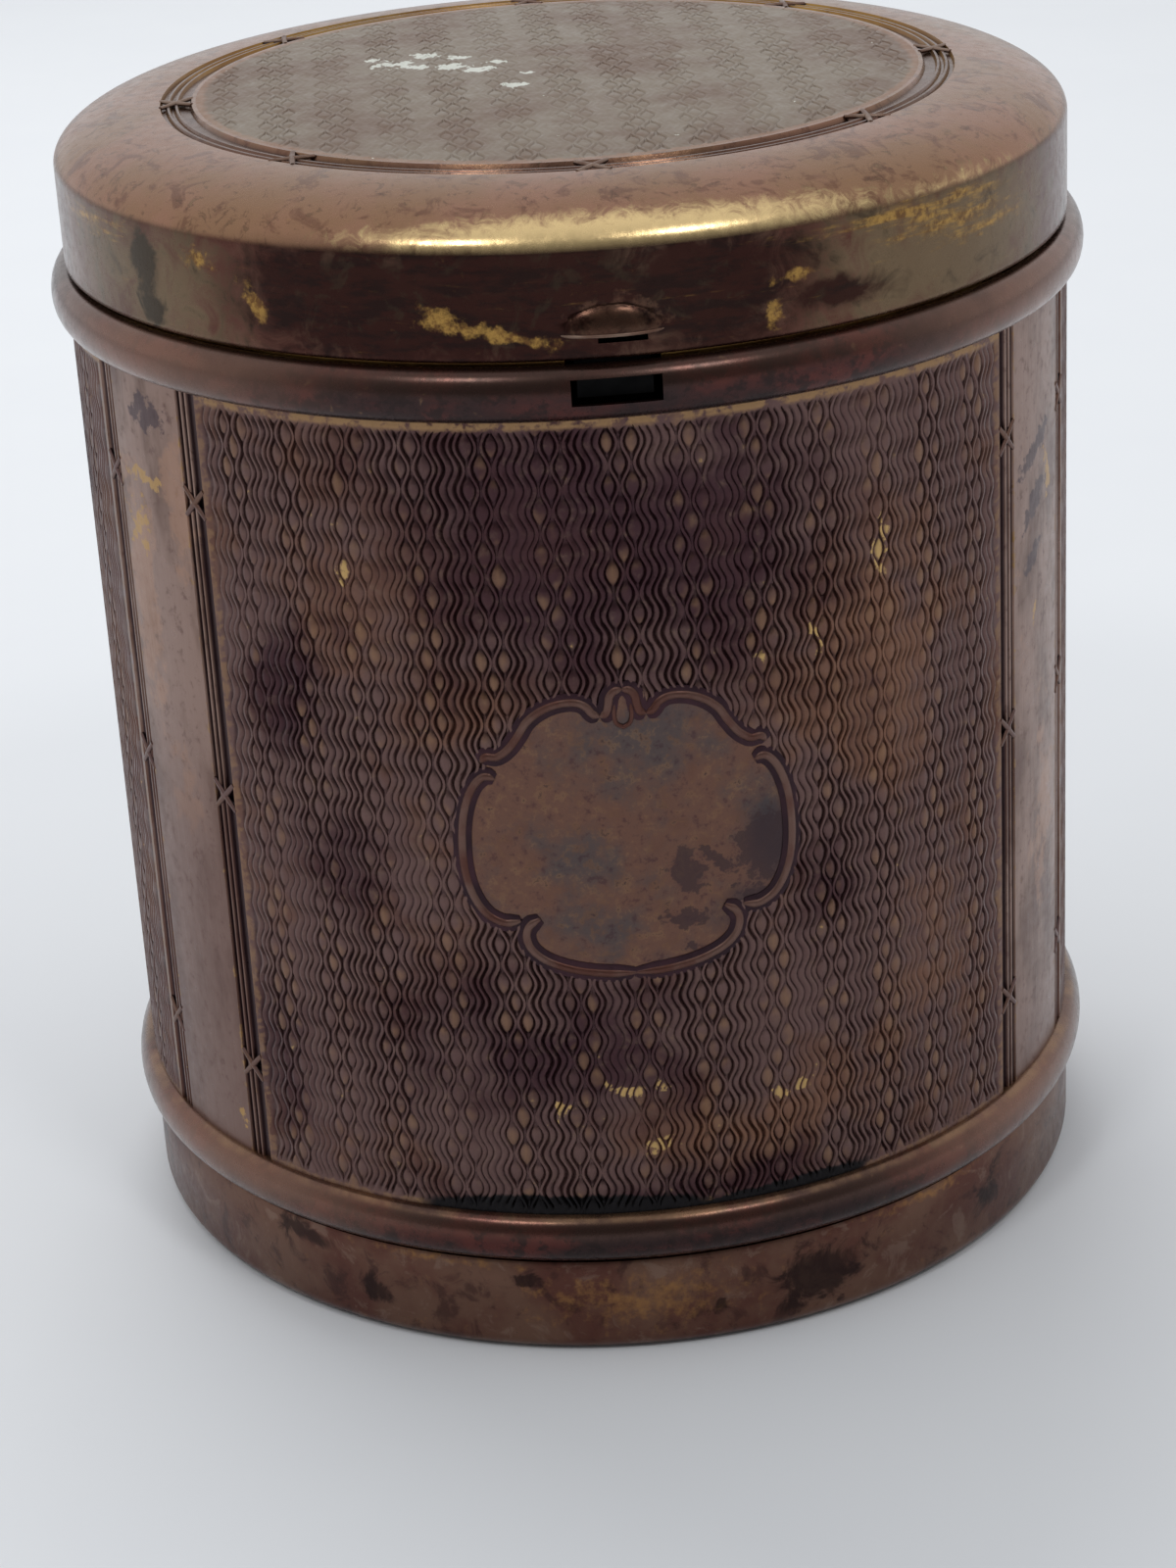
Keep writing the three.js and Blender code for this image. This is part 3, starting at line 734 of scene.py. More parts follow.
def base_pressing(finish, lining):
    foot_out = BASE_RADIUS - BASE_EDGE
    foot_in = foot_out - FOOT_WIDTH
    panel = foot_in - RECESS_SLOPE
    profile = [(0.0, BASE_EDGE), (panel - RECESS_EASE, BASE_EDGE), (panel, BASE_EDGE - FOOT_EASE)]
    profile += [(foot_in - FOOT_EASE, FOOT_EASE), (foot_in + FOOT_FLAT, 0.0)]
    profile += arc_points((foot_out, BASE_EDGE), (BASE_EDGE, BASE_EDGE), -90, 0, 8)
    profile += [(BASE_RADIUS, BASE_MIDDLE), (BASE_RADIUS, BASE_TOP - BASE_RIM)]
    profile += [(BASE_RADIUS - FOOT_EASE, BASE_TOP), (BASE_RADIUS - SHEET, BASE_TOP)]
    inner_edge = BASE_EDGE - SHEET
    profile += reversed(arc_points((foot_out, BASE_EDGE), (inner_edge, inner_edge), -90, 0, 6))
    top = BASE_EDGE + SHEET
    profile += [(foot_in + FOOT_FLAT, SHEET), (panel + FOOT_FLAT, top), (0.0, top)]
    bm = spun(profile)
    piece = new_piece("base_pressing", bm, "tin", [finish, lining], ["base_cup"])
    mark_inside(piece, TIN_MIDDLE)


def neck(finish):
    """The inner sleeve that the lid closes over, with the catch's slot."""
    low, high = NECK_SPAN
    curl = (NECK_RADIUS - NECK_CURL, high - NECK_CURL)
    inner_curl = NECK_CURL - SHEET
    profile = [(NECK_RADIUS, low)]
    profile += arc_points(curl, (NECK_CURL, NECK_CURL), 0, 90, 8)
    profile += arc_points(curl, (inner_curl, inner_curl), 90, 0, 6)
    profile += [(NECK_INSIDE, low)]
    piece = new_piece("neck_sleeve", spun(profile), "tin", [finish], ["neck_ring"])
    boolean(piece, block(*NECK_SLOT), "DIFFERENCE")


def crown_height(r):
    """Height of the lid's outside at a distance from the axis."""
    if r > SHOULDER_RADIUS:
        share = (r - SHOULDER_RADIUS) / (WALL_RADIUS - SHOULDER_RADIUS)
        return SKIRT_TOP + SHOULDER_RISE * math.sqrt(max(0.0, 1 - share * share))
    return SKIRT_TOP + SHOULDER_RISE + DOME_RISE * (1 - (r / SHOULDER_RADIUS) ** 2)


def louvre_egg(insets):
    """The upper half of the egg-shaped bulge of the thumb louvre, made smaller by an inset on each axis."""
    bm = bmesh.new()
    bmesh.ops.create_uvsphere(bm, u_segments=48, v_segments=32, radius=1.0)
    radii = [(size - inset) * MM for size, inset in zip(LOUVRE_SIZE, insets)]
    bmesh.ops.scale(bm, vec=radii, verts=bm.verts)
    level = LOUVRE_LEVEL * MM
    bmesh.ops.translate(bm, vec=(0, (LOUVRE_ROOT - WALL_RADIUS) * MM, level), verts=bm.verts)
    geom = bm.verts[:] + bm.edges[:] + bm.faces[:]
    bmesh.ops.bisect_plane(bm, geom=geom, plane_co=(0, 0, level), plane_no=(0, 0, 1), clear_inner=True)
    close_holes(bm)
    return bm


def lid_cap(finish, lining):
    """The drawn lid: straight side with the thumb louvre, shoulder, engraved ring and medallion seat."""
    run = WALL_RADIUS - SHOULDER_RADIUS
    outer = [(WALL_RADIUS - LID_EASE, LID_EDGE)]
    rows = np.arange(LID_EDGE + SKIRT_FIRST, SKIRT_TOP - SKIRT_LAST, SKIRT_ROW)
    outer += [(WALL_RADIUS, z) for z in rows]
    shoulder = arc_points((SHOULDER_RADIUS, SKIRT_TOP), (run, SHOULDER_RISE), 0, 90, 32)
    outer += [p for p in shoulder if p[0] > RING_OUT + RING_MARGIN]
    for at, depth, _ in LINE_SECTION:
        r = RING_OUT - at * (RING_OUT - RING_IN) / LINES_WIDTH
        outer.append((r, crown_height(r) + depth))
    seat = RING_IN - SEAT_EDGE
    outer.append((seat, crown_height(seat)))
    for i in range(SEAT_STEPS + 1):
        r = (seat - SEAT_WALL) * (1 - i / SEAT_STEPS)
        outer.append((r, crown_height(r) - MEDALLION_SEAT))
    inner = [(r, crown_height(r) - SHEET) for r in np.linspace(0, SHOULDER_RADIUS, 8)]
    under = arc_points((SHOULDER_RADIUS, SKIRT_TOP), (run - SHEET, SHOULDER_RISE - SHEET), 0, 84, 10)
    inner += reversed(under)
    inner.append((WALL_RADIUS - SHEET, LID_EDGE))
    piece = new_piece("lid_cap", spun(inner + outer), "lid", [finish, lining], ["lid_shell"])
    mark_inside(piece, LID_MIDDLE)

    bulge = linked("shape", mesh_of(louvre_egg((0.0, 0.0, 0.0))))
    low, high = HOLLOW
    inside_skirt = WALL_RADIUS - SHEET
    boolean(bulge, spun([(0.0, low), (inside_skirt, low), (inside_skirt, high), (0.0, high)]), "DIFFERENCE")
    boolean(piece, taken(bulge.data), "UNION")
    boolean(piece, louvre_egg(LOUVRE_WALL), "DIFFERENCE")
    boolean(piece, block(*LOUVRE_MOUTH), "DIFFERENCE")
    notch = block((-HINGE_GAP, 0.0, HOLLOW[0]), (HINGE_GAP, PAST_HINGE, BARREL_TOP))
    boolean(piece, notch, "DIFFERENCE")


def louvre_lip(finish):
    """The rubbed edge of the louvre, as a thin wire along its mouth."""
    wide, deep = LOUVRE_SIZE[:2]
    edge = arc_points((0.0, LOUVRE_ROOT - WALL_RADIUS), (wide, -deep), *LIP_ARC, LIP_STEPS)

    def place(along, out, lift):
        at = min(max(along, 0.0), 1.0) * (len(edge) - 1)
        x = np.interp(at, range(len(edge)), [p[0] for p in edge])
        y = np.interp(at, range(len(edge)), [p[1] for p in edge])
        return Vector((x, y - lift, LOUVRE_LEVEL + out)) * MM

    line = [(t, 0.0) for t in np.linspace(0, 1, LIP_STEPS + 1)]
    bm = ridges([line], 2 * LIP_RADIUS, LIP_RADIUS, place, LIP_TAPER)
    new_piece("louvre_lip", bm, "lid", [finish])


def lid_medallion(finish):
    """The engine-turned disc on top of the lid."""
    reach = RING_IN - MEDALLION_EDGE
    bm, side, up, height, seed = engine_turned_sheet(
        2 * reach, 2 * reach, LID_WAVE_GAPS, 0.0, LID_WAVE_DEPTH
    )
    y = up - reach
    r = np.hypot(side, y)
    beyond = r > reach
    shrink = np.where(beyond, reach / np.maximum(r, 1e-6), 1.0)
    border = r > reach - PANEL_BORDER
    height = np.where(border, 0.0, LID_WEAR * height)
    for vert, px, py, share, lift in zip(bm.verts, side, y, shrink, height):
        px, py = px * share, py * share
        vert.co = Vector((px, py, crown_height(math.hypot(px, py)) + lift)) * MM
    set_layers(
        bm, relief=1 + height / CUT_DEPTH, seed=np.where(border, 0.0, seed), border=border.astype(float),
        beyond=beyond.astype(float),
    )
    layer = bm.verts.layers.float["beyond"]
    outside = [f for f in bm.faces if all(v[layer] > 0.5 for v in f.verts)]
    bmesh.ops.delete(bm, geom=outside, context="FACES")
    bmesh.ops.remove_doubles(bm, verts=bm.verts, dist=RIM_MERGE * MM)
    for share in MEDALLION_BACK:
        for vert in extruded(bm, open_edges(bm)):
            vert.co.xy *= share
            vert.co.z = (crown_height(vert.co.xy.length / MM) - MEDALLION_SEAT - LET_IN) * MM
    close_holes(bm)
    new_piece("lid_medallion", bm, "lid", [finish])


def knuckle_spans():
    length = (2 * HINGE_HALF - (KNUCKLES - 1) * KNUCKLE_FIT) / KNUCKLES
    starts = [-HINGE_HALF + i * (length + KNUCKLE_FIT) for i in range(KNUCKLES)]
    return [(start, start + length) for start in starts]


def hinge_leaf(name, node, body, levels, tab, spans, finish):
    """A bent leaf with its rolled knuckles."""
    bm = bent_plate((-HINGE_HALF, HINGE_HALF), levels, LEAF_RADII, LEAF_SOFT)
    soft = KNUCKLE_SOFT
    for low, high in spans:
        bent_plate((low, high), tab, LEAF_RADII, TAB_SOFT, bm)
        tube = [
            (KNUCKLE_BORE, low), (KNUCKLE_RADIUS - soft, low), (KNUCKLE_RADIUS, low + soft),
            (KNUCKLE_RADIUS, high - soft), (KNUCKLE_RADIUS - soft, high), (KNUCKLE_BORE, high),
        ]
        knuckle = spun(tube, (0, HINGE_OUT, HINGE_LEVEL), (1, 0, 0), (0, 1, 0), SMALL_STEPS)
        joined(bm, knuckle)
    bmesh.ops.recalc_face_normals(bm, faces=bm.faces)
    new_piece(name, bm, body, [finish], [node])


def hinge_pin(finish):
    head = (PIN_RADIUS + KNUCKLE_RADIUS) / 2
    end = arc_points((0.0, PIN_HALF), (head, PIN_HEAD), 90, 0, 8)
    other_end = [(r, -h) for r, h in reversed(end)]
    profile = end + [(PIN_RADIUS, PIN_HALF), (PIN_RADIUS, -PIN_HALF)] + other_end
    bm = spun(profile, (0, HINGE_OUT, HINGE_LEVEL), (1, 0, 0), (0, 1, 0), SMALL_STEPS)
    new_piece("pin", bm, "tin", [finish], ["hinge_pin"])


def rivet(name, node, body, at, level, ends, heads, finish):
    """A rivet along Y, domed at the ends that have a head."""
    low, high = ends
    if heads[0]:
        profile = arc_points((0.0, low), (RIVET_HEAD, -RIVET_RISE), 90, 0, 8)
    else:
        profile = [(0.0, low)]
    profile += [(RIVET_RADIUS, low), (RIVET_RADIUS, high)]
    if heads[1]:
        profile += arc_points((0.0, high), (RIVET_HEAD, RIVET_RISE), 0, 90, 8)
    else:
        profile += [(0.0, high)]
    bm = spun(profile, (at, 0, level), (0, 1, 0), (0, 0, 1), RIVET_STEPS)
    new_piece(name, bm, body, [finish], [node])


def rivets(finish):
    leaf_face = math.sqrt(LEAF_RADII[1] ** 2 - LEAF_RIVET_AT**2) + RIVET_FIT
    body_back = math.sqrt(NECK_INSIDE**2 - LEAF_RIVET_AT**2) - RIVET_FIT
    lid_back = math.sqrt((WALL_RADIUS - SHEET) ** 2 - LEAF_RIVET_AT**2) - RIVET_FIT
    catch_face = -math.sqrt(NECK_RADIUS**2 - CATCH_RIVET_AT**2)
    for side, sign in (("left", -1), ("right", 1)):
        leaf_at = sign * LEAF_RIVET_AT
        rivet(
            f"body_leaf_rivet_{side}", f"hinge_body_rivet_{side}", "tin", leaf_at, BODY_RIVET_LEVEL,
            (body_back, leaf_face), (True, True), finish,
        )
        rivet(
            f"lid_leaf_rivet_{side}", f"hinge_lid_rivet_{side}", "lid", leaf_at, LID_RIVET_LEVEL,
            (lid_back, leaf_face), (True, True), finish,
        )
        rivet(
            f"spring_rivet_{side}", f"catch_rivet_{side}", "tin", sign * CATCH_RIVET_AT, CATCH_RIVET_LEVEL,
            (catch_face, RIVET_FIT - CATCH_INSIDE), (False, True), finish,
        )


def keep_spring(finish):
    """The catch spring keeps the shape it has in the frame and gets its finish."""
    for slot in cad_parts["catch_spring"].material_slots:
        slot.material = finish


def tone(red, green, blue):
    """A colour as it looks on a screen, from 0 to 255, as the shader's own numbers."""
    light = [((c / 255 + 0.055) / 1.055) ** 2.4 for c in (red, green, blue)]
    return (*light, 1.0)


class Nodes:
    """Adds nodes to a shader's tree."""

    def __init__(self, tree):
        self.tree = tree

    def add(self, kind, sockets=(), **settings):
        """A new node with its settings, and with values or links for some of its sockets."""
        node = self.tree.nodes.new(kind)
        for key, value in settings.items():
            setattr(node, key, value)
        for key, value in dict(sockets).items():
            self.put(node.inputs[key], value)
        return node

    def put(self, socket, value):
        """Links a socket to another, or sets it to a constant."""
        if isinstance(value, bpy.types.NodeSocket):
            self.tree.links.new(value, socket)
        else:
            socket.default_value = value


class Finish(Nodes):
    """A procedural material, with small helpers for its colours and wear."""

    def __init__(self, name):
        self.material = bpy.data.materials.new(name)
        self.material.use_nodes = True
        super().__init__(self.material.node_tree)
        self.shader = self.tree.nodes["Principled BSDF"]
        self.place = self.add("ShaderNodeTexCoord").outputs["Object"]

    def calc(self, operation, first, second):
        return self.add("ShaderNodeMath", {0: first, 1: second}, operation=operation).outputs[0]

    def times(self, first, second):
        return self.calc("MULTIPLY", first, second)

    def move(self, operation, first, second):
        node = self.add("ShaderNodeVectorMath", {0: first, 1: second}, operation=operation)
        return node.outputs["Vector"]

    def noise(self, size, detail=4.0, roughness=0.6, stretch=(1, 1, 1), twist=0.0):
        """Noise from 0 to 1 with features of about a size in millimetres, longer where stretched."""
        place = self.move("MULTIPLY", self.place, [1 / s for s in stretch])
        sockets = {"Vector": place, "Scale": 1 / (size * MM), "Detail": detail}
        node = self.add("ShaderNodeTexNoise", sockets | {"Roughness": roughness, "Distortion": twist})
        return node.outputs["Fac"]

    def fade(self, value, low, high):
        """0 at low, 1 at high, smooth between and flat beyond."""
        sockets = {"Value": value, "From Min": low, "From Max": high}
        return self.add("ShaderNodeMapRange", sockets, interpolation_type="SMOOTHSTEP").outputs["Result"]

    def rise(self, low, high):
        """A fade between two heights in millimetres."""
        return self.fade(self.split()[2], low * MM, high * MM)

    def uneven(self, low, high, noise):
        """A noise stretched between two values, for roughness."""
        least, most = NOISE_SPAN
        sockets = {"Value": noise, "From Min": least, "From Max": most, "To Min": low, "To Max": high}
        return self.add("ShaderNodeMapRange", sockets).outputs["Result"]

    def mix(self, share, first, second):
        return self.add("ShaderNodeMix", {0: share, 6: first, 7: second}, data_type="RGBA").outputs[2]

    def lay(self, colour, over, share, mask):
        """A colour with a share of another laid over it where the mask is."""
        return self.mix(self.times(mask, share), colour, over)

    def layer(self, name):
        return self.add("ShaderNodeAttribute", attribute_name=name).outputs["Fac"]

    def split(self):
        return self.add("ShaderNodeSeparateXYZ", {0: self.place}).outputs

    def from_axis(self):
        flat = self.move("MULTIPLY", self.place, (1, 1, 0))
        return self.add("ShaderNodeVectorMath", {0: flat}, operation="LENGTH").outputs["Value"]

    def flat_place(self, across, up, ragged, size):
        """A flat place from two numbers in millimetres, made ragged by noise."""
        flat = self.add("ShaderNodeCombineXYZ", {0: across, 1: up}).outputs[0]
        sockets = {"Vector": self.place, "Scale": 1 / (size * MM), "Detail": 3.0}
        noise = self.add("ShaderNodeTexNoise", sockets).outputs["Color"]
        shift = self.move("SUBTRACT", noise, (0.5, 0.5, 0.5))
        return self.move("ADD", flat, self.move("MULTIPLY", shift, (2 * ragged, 2 * ragged, 0.0)))

    def round_wall(self, ragged, size):
        """Millimetres round the wall from the front, and height."""
        x, y, z = self.split()
        turn = self.calc("ARCTAN2", x, self.times(y, -1.0))
        return self.flat_place(self.times(turn, WALL_RADIUS), self.times(z, 1 / MM), ragged, size)

    def seen_from_above(self, ragged, size):
        x, y = self.split()[:2]
        return self.flat_place(self.times(x, 1 / MM), self.times(y, 1 / MM), ragged, size)

    def spots(self, flat, places):
        """Soft spots at flat places: across, up, half width, half height, lean in degrees, strength."""
        total = None
        for across, up, wide, tall, lean, strength in places:
            sockets = {"Vector": flat, "Location": (across, up, 0.0), "Scale": (wide, tall, 1.0)}
            sockets["Rotation"] = (0.0, 0.0, math.radians(lean))
            spot = self.add("ShaderNodeMapping", sockets, vector_type="TEXTURE").outputs[0]
            fall = self.add("ShaderNodeTexGradient", {0: spot}, gradient_type="SPHERICAL")
            one = self.times(fall.outputs["Fac"], strength)
            total = self.calc("MAXIMUM", total, one) if total else one
        return total

    def worn(self, mask, noise, reach=0.45, low=0.7, high=0.8):
        """A patch whose edge is broken up by noise, whole where the mask is strong."""
        return self.fade(self.calc("ADD", noise, self.times(mask, reach)), low, high)

    def bump(self, height, depth):
        node = self.add("ShaderNodeBump", {"Strength": 1.0, "Distance": depth * MM, "Height": height})
        self.put(self.shader.inputs["Normal"], node.outputs["Normal"])

    def done(self, colour, roughness, metallic, lacquer=0.0):
        sockets = {"Base Color": colour, "Roughness": roughness, "Metallic": metallic}
        sockets |= {"Coat Weight": lacquer, "Coat Roughness": COAT_ROUGHNESS}
        for key, value in sockets.items():
            self.put(self.shader.inputs[key], value)
        return self.material


# Tones of the patina, some of them also standing in for painted light and shade
LAND = tone(103, 78, 74)
WARM_LAND = tone(121, 86, 68)
DARK_LAND = tone(58, 31, 39)
# Dark patina of the cuts, also standing in for the shade in them
CUT = tone(42, 21, 29)
SEED_TAN = tone(142, 108, 80)
MAROON = tone(54, 30, 28)
DARK_MAROON = tone(30, 13, 11)
SKIRT_RED = tone(46, 19, 14)
BROWN = tone(106, 77, 63)
RED_BROWN = tone(88, 53, 44)
BEAD_RED = tone(96, 40, 32)
BEAD_DARK = tone(45, 25, 24)
BEAD_COPPER = tone(142, 104, 86)
GREY_BROWN = tone(136, 114, 100)
DISC_GREY = tone(134, 121, 106)
DISC_BROWN = tone(116, 94, 78)
BAND_GREY = tone(138, 110, 98)
COPPER = tone(160, 120, 96)
SHOULDER_COPPER = tone(152, 113, 92)
SHOULDER_TAN = tone(144, 110, 84)
TAN = tone(150, 116, 84)
RUBBED = tone(152, 119, 84)
BASE_TAN = tone(156, 112, 66)
OLIVE = tone(118, 101, 76)
DARK_OLIVE = tone(54, 44, 32)
GOLD = tone(178, 138, 72)
FLECK_GOLD = tone(190, 156, 102)
DARK_BRASS = tone(112, 78, 42)
# Pale gold of the rubbed rim, lightened into a painted highlight
PALE_GOLD_HIGHLIGHT = tone(236, 206, 150)
STAIN = tone(20, 17, 19)
FIELD_COPPER = tone(108, 76, 63)
FIELD_GREY = tone(84, 71, 69)
FIELD_STAIN = tone(58, 42, 46)
FIELD_SHADOW = tone(46, 44, 52)
FRAME_BROWN = tone(106, 79, 70)
WHITEWASH = tone(214, 216, 206)

# Tones of the inside, the brass, the spring and the room
LINING = tone(168, 130, 72)
DULL_LINING = tone(140, 102, 58)
LINING_SPOT = tone(84, 58, 38)
BRASS = tone(176, 138, 78)
DULL_BRASS = tone(140, 100, 58)
TARNISH = tone(86, 60, 40)
SPRING_BLACK = tone(7, 7, 8)
SPRING_GREY = tone(15, 14, 14)
PAPER = tone(232, 235, 238)
PAPER_SHADE = tone(228, 231, 235)
ROOM_WHITE = (0.97, 0.98, 1.0, 1.0)

# Wear, stains and painted light: millimetres round the wall, height, half width, half height, lean in
# degrees, strength
PANEL_GOLD = (
    (-6.2, 18.5, 1.6, 1.1, 0, 1.0), (-1.4, 19.7, 3.2, 1.1, 8, 1.1), (0.5, 16.0, 2.0, 1.2, 20, 1.1),
    (10.0, 18.5, 3.0, 1.0, 12, 1.0), (-17.8, 55.6, 0.8, 3.0, 0, 0.7), (17.2, 54.3, 0.8, 4.0, 0, 0.8),
    (12.0, 50.0, 0.7, 2.0, 0, 0.7), (8.6, 49.0, 0.7, 1.6, 0, 0.6),
)
PANEL_WARM = (
    (16.0, 48.0, 9.0, 14.0, 0, 0.8), (6.0, 16.0, 13.0, 5.0, 0, 0.8), (-15.0, 55.0, 9.0, 9.0, 20, 0.6),
    (-9.0, 47.0, 6.0, 6.0, 0, 0.5), (20.0, 24.0, 7.0, 12.0, 0, 0.4),
)
# Dark patina of the front panel, its broad patches down the middle partly a painted dark reflection of the
# room in front
PANEL_DARK_AND_REFLECTION = (
    (-1.0, 58.0, 22.0, 16.0, 0, 1.1), (-23.5, 46.5, 4.4, 8.0, 0, 1.0), (-20.0, 36.0, 6.0, 10.0, 0, 0.6),
    (-6.0, 23.0, 18.0, 9.0, 0, 0.85), (13.0, 33.0, 5.0, 9.0, 0, 0.6), (-26.0, 20.0, 6.0, 10.0, 0, 0.6),
    (0.0, 12.0, 22.0, 4.0, 0, 0.7),
)
PANEL_STAIN = ((-6.0, 10.8, 12.0, 1.6, 0, 1.2), (8.0, 10.7, 9.0, 0.9, 3, 1.0))
SIDE_GOLD = (
    (58.0, 52.0, 1.2, 4.0, 0, 0.8), (84.0, 20.0, 2.4, 0.9, 10, 0.9), (-62.0, 17.0, 2.4, 0.9, -8, 0.9),
    (-80.0, 50.0, 1.0, 4.0, 0, 0.8),
)
SIDE_WARM = (
    (55.0, 48.0, 12.0, 14.0, 0, 0.8), (80.0, 22.0, 16.0, 9.0, 0, 0.8), (-70.0, 30.0, 16.0, 14.0, 0, 0.8),
)
SIDE_DARK = (
    (70.0, 40.0, 8.0, 14.0, 0, 0.8), (90.0, 58.0, 12.0, 9.0, 0, 0.9), (-55.0, 58.0, 12.0, 9.0, 0, 0.9),
    (-88.0, 22.0, 8.0, 12.0, 0, 0.7),
)
SIDE_STAIN = ((64.0, 10.6, 8.0, 1.2, 0, 1.0), (-84.0, 10.6, 9.0, 1.3, 0, 1.0))
FIELD_DARK = (
    (8.4, 36.2, 3.2, 3.4, 20, 1.0), (3.0, 35.2, 1.5, 2.5, 20, 0.9), (5.2, 35.6, 2.6, 0.9, -25, 0.8),
    (2.8, 31.9, 2.0, 0.9, 0, 0.9), (7.6, 32.6, 1.6, 2.4, 30, 0.7), (3.0, 29.6, 1.0, 0.6, 0, 0.7),
)
FIELD_SHADE = ((9.2, 36.6, 3.6, 5.0, 12, 1.0), (6.6, 32.2, 3.6, 2.2, 30, 0.8))
FIELD_COOL = (
    (0.6, 44.6, 7.5, 4.4, 10, 1.0), (-4.0, 36.4, 4.2, 3.4, 0, 0.9), (-3.0, 31.6, 4.6, 2.6, 0, 0.8),
    (8.0, 39.0, 3.0, 4.0, 0, 0.7),
)
BAND_GOLD = (
    (-35.0, 58.6, 4.0, 1.2, -6, 0.9), (-36.8, 55.0, 2.6, 3.6, 0, 0.8), (-31.0, 13.0, 2.0, 2.0, 0, 0.6),
    (36.6, 53.6, 1.4, 2.8, 10, 0.9), (34.0, 45.0, 0.8, 2.4, 0, 0.7),
)
BAND_WARM = (
    (-37.0, 51.0, 3.0, 12.0, 0, 1.0), (-31.5, 58.0, 2.4, 7.0, 0, 0.8), (-34.0, 36.0, 3.0, 7.0, 0, 0.6),
    (36.0, 30.0, 4.0, 14.0, 0, 0.6), (106.8, 45.0, 5.0, 12.0, 0, 0.8), (-103.0, 24.0, 4.0, 10.0, 0, 0.8),
)
BAND_DARK = (
    (-34.3, 63.2, 3.4, 1.8, 0, 1.2), (34.2, 56.2, 4.4, 1.3, 28, 1.2), (34.0, 52.4, 4.4, 1.3, 32, 1.2),
    (33.8, 48.8, 3.4, 1.0, 32, 1.0), (102.0, 30.0, 3.0, 8.0, 0, 0.7),
)
BAND_DUSK = (
    (-34.0, 18.0, 18.0, 28.0, 0, 1.6), (35.0, 12.0, 14.0, 12.0, 0, 0.7), (107.0, 14.0, 14.0, 14.0, 0, 0.8),
)
# Rim worn to brass, brightened by a painted highlight
RIM_WEAR_AND_HIGHLIGHT = ((0.5, 76.55, 21.0, 1.6, 0, 1.5), (24.0, 76.3, 14.0, 1.0, 0, 0.4))
HOOD_COPPER = ((0.2, 71.7, 4.4, 1.9, 0, 1.0),)
SKIRT_GOLD = (
    (-10.2, 71.9, 2.4, 1.1, -14, 1.0), (-6.6, 71.0, 5.6, 0.75, -13, 1.0), (-22.6, 72.2, 0.9, 2.6, 35, 0.9),
    (-27.2, 74.4, 2.4, 1.1, 0, 0.9), (10.0, 70.7, 0.7, 1.5, -25, 0.9), (11.6, 73.0, 2.6, 0.5, 8, 0.8),
)
SKIRT_STREAKS = (
    (22.0, 75.2, 14.0, 1.0, 0, 1.0), (25.0, 74.1, 12.0, 1.0, 1, 1.0), (28.0, 73.0, 9.0, 0.8, 1, 0.9),
    (-39.0, 75.0, 8.0, 1.3, 0, 0.9), (75.0, 74.6, 16.0, 1.4, 0, 0.8), (-75.0, 73.6, 12.0, 1.2, 0, 0.8),
)
SKIRT_OLIVE = (
    (24.0, 72.6, 17.0, 7.0, 0, 1.0), (-33.0, 72.4, 13.0, 7.0, 0, 0.7), (-88.0, 73.0, 20.0, 7.0, 0, 0.8),
)
# Dark patina in the middle of the skirt's front, partly a painted dark reflection of the room in front
SKIRT_DARK_AND_REFLECTION = (
    (-6.0, 73.4, 19.0, 7.0, 0, 1.0), (6.0, 73.0, 10.0, 6.6, 0, 0.8), (14.0, 71.4, 5.0, 1.6, 0, 0.8),
    (-15.0, 73.0, 12.0, 6.5, 0, 0.9),
)
SKIRT_DRIP = ((-32.5, 73.6, 2.2, 4.2, 0, 1.3), (-32.0, 70.6, 1.8, 1.6, 0, 1.2))
BEAD_PALE = (
    (-34.0, 67.6, 22.0, 5.0, 0, 1.0), (35.0, 67.6, 24.0, 5.0, 0, 1.0), (-34.0, 9.6, 26.0, 4.0, 0, 1.0),
    (33.0, 9.6, 24.0, 4.0, 0, 1.0), (107.0, 9.0, 20.0, 4.0, 0, 0.7),
)
BASE_DARK = (
    (-26.0, 5.9, 5.0, 1.7, -8, 1.0), (11.0, 3.6, 5.0, 3.4, 0, 1.0), (-20.0, 3.0, 2.6, 1.8, 0, 0.7),
    (27.0, 4.6, 3.0, 2.4, 0, 0.8), (-9.0, 5.6, 1.6, 0.7, 0, 0.9), (3.8, 3.0, 1.0, 1.2, 0, 0.9),
    (-50.0, 4.0, 6.0, 2.4, 0, 0.9), (70.0, 4.0, 7.0, 2.6, 0, 0.9),
)
BASE_GOLD = (
    (-3.9, 4.3, 0.5, 1.4, 25, 0.9), (-1.0, 4.0, 12.0, 3.4, 0, 0.7), (20.0, 6.6, 9.0, 0.7, 0, 0.7),
    (-15.0, 6.7, 9.0, 0.6, 0, 0.7), (60.0, 4.0, 9.0, 3.0, 0, 0.6), (-95.0, 4.0, 10.0, 3.0, 0, 0.6),
)
LID_FLECKS = (
    (-10.6, 4.6, 2.5, 1.9, 0, 1.0), (-8.3, 6.6, 1.7, 1.4, 0, 1.0), (-7.0, 2.2, 2.1, 1.4, 0, 1.0),
    (-5.0, 0.4, 2.0, 1.4, 0, 1.0), (-3.2, -4.9, 1.4, 1.3, 0, 1.0), (-1.9, -1.5, 1.1, 0.9, 0, 1.0),
    (-9.4, 3.0, 1.5, 1.2, 0, 1.0), (-6.2, 4.8, 1.3, 1.0, 0, 1.0), (-11.8, 6.4, 1.3, 1.0, 0, 1.0),
    (-4.0, 2.6, 1.1, 0.9, 0, 1.0),
)


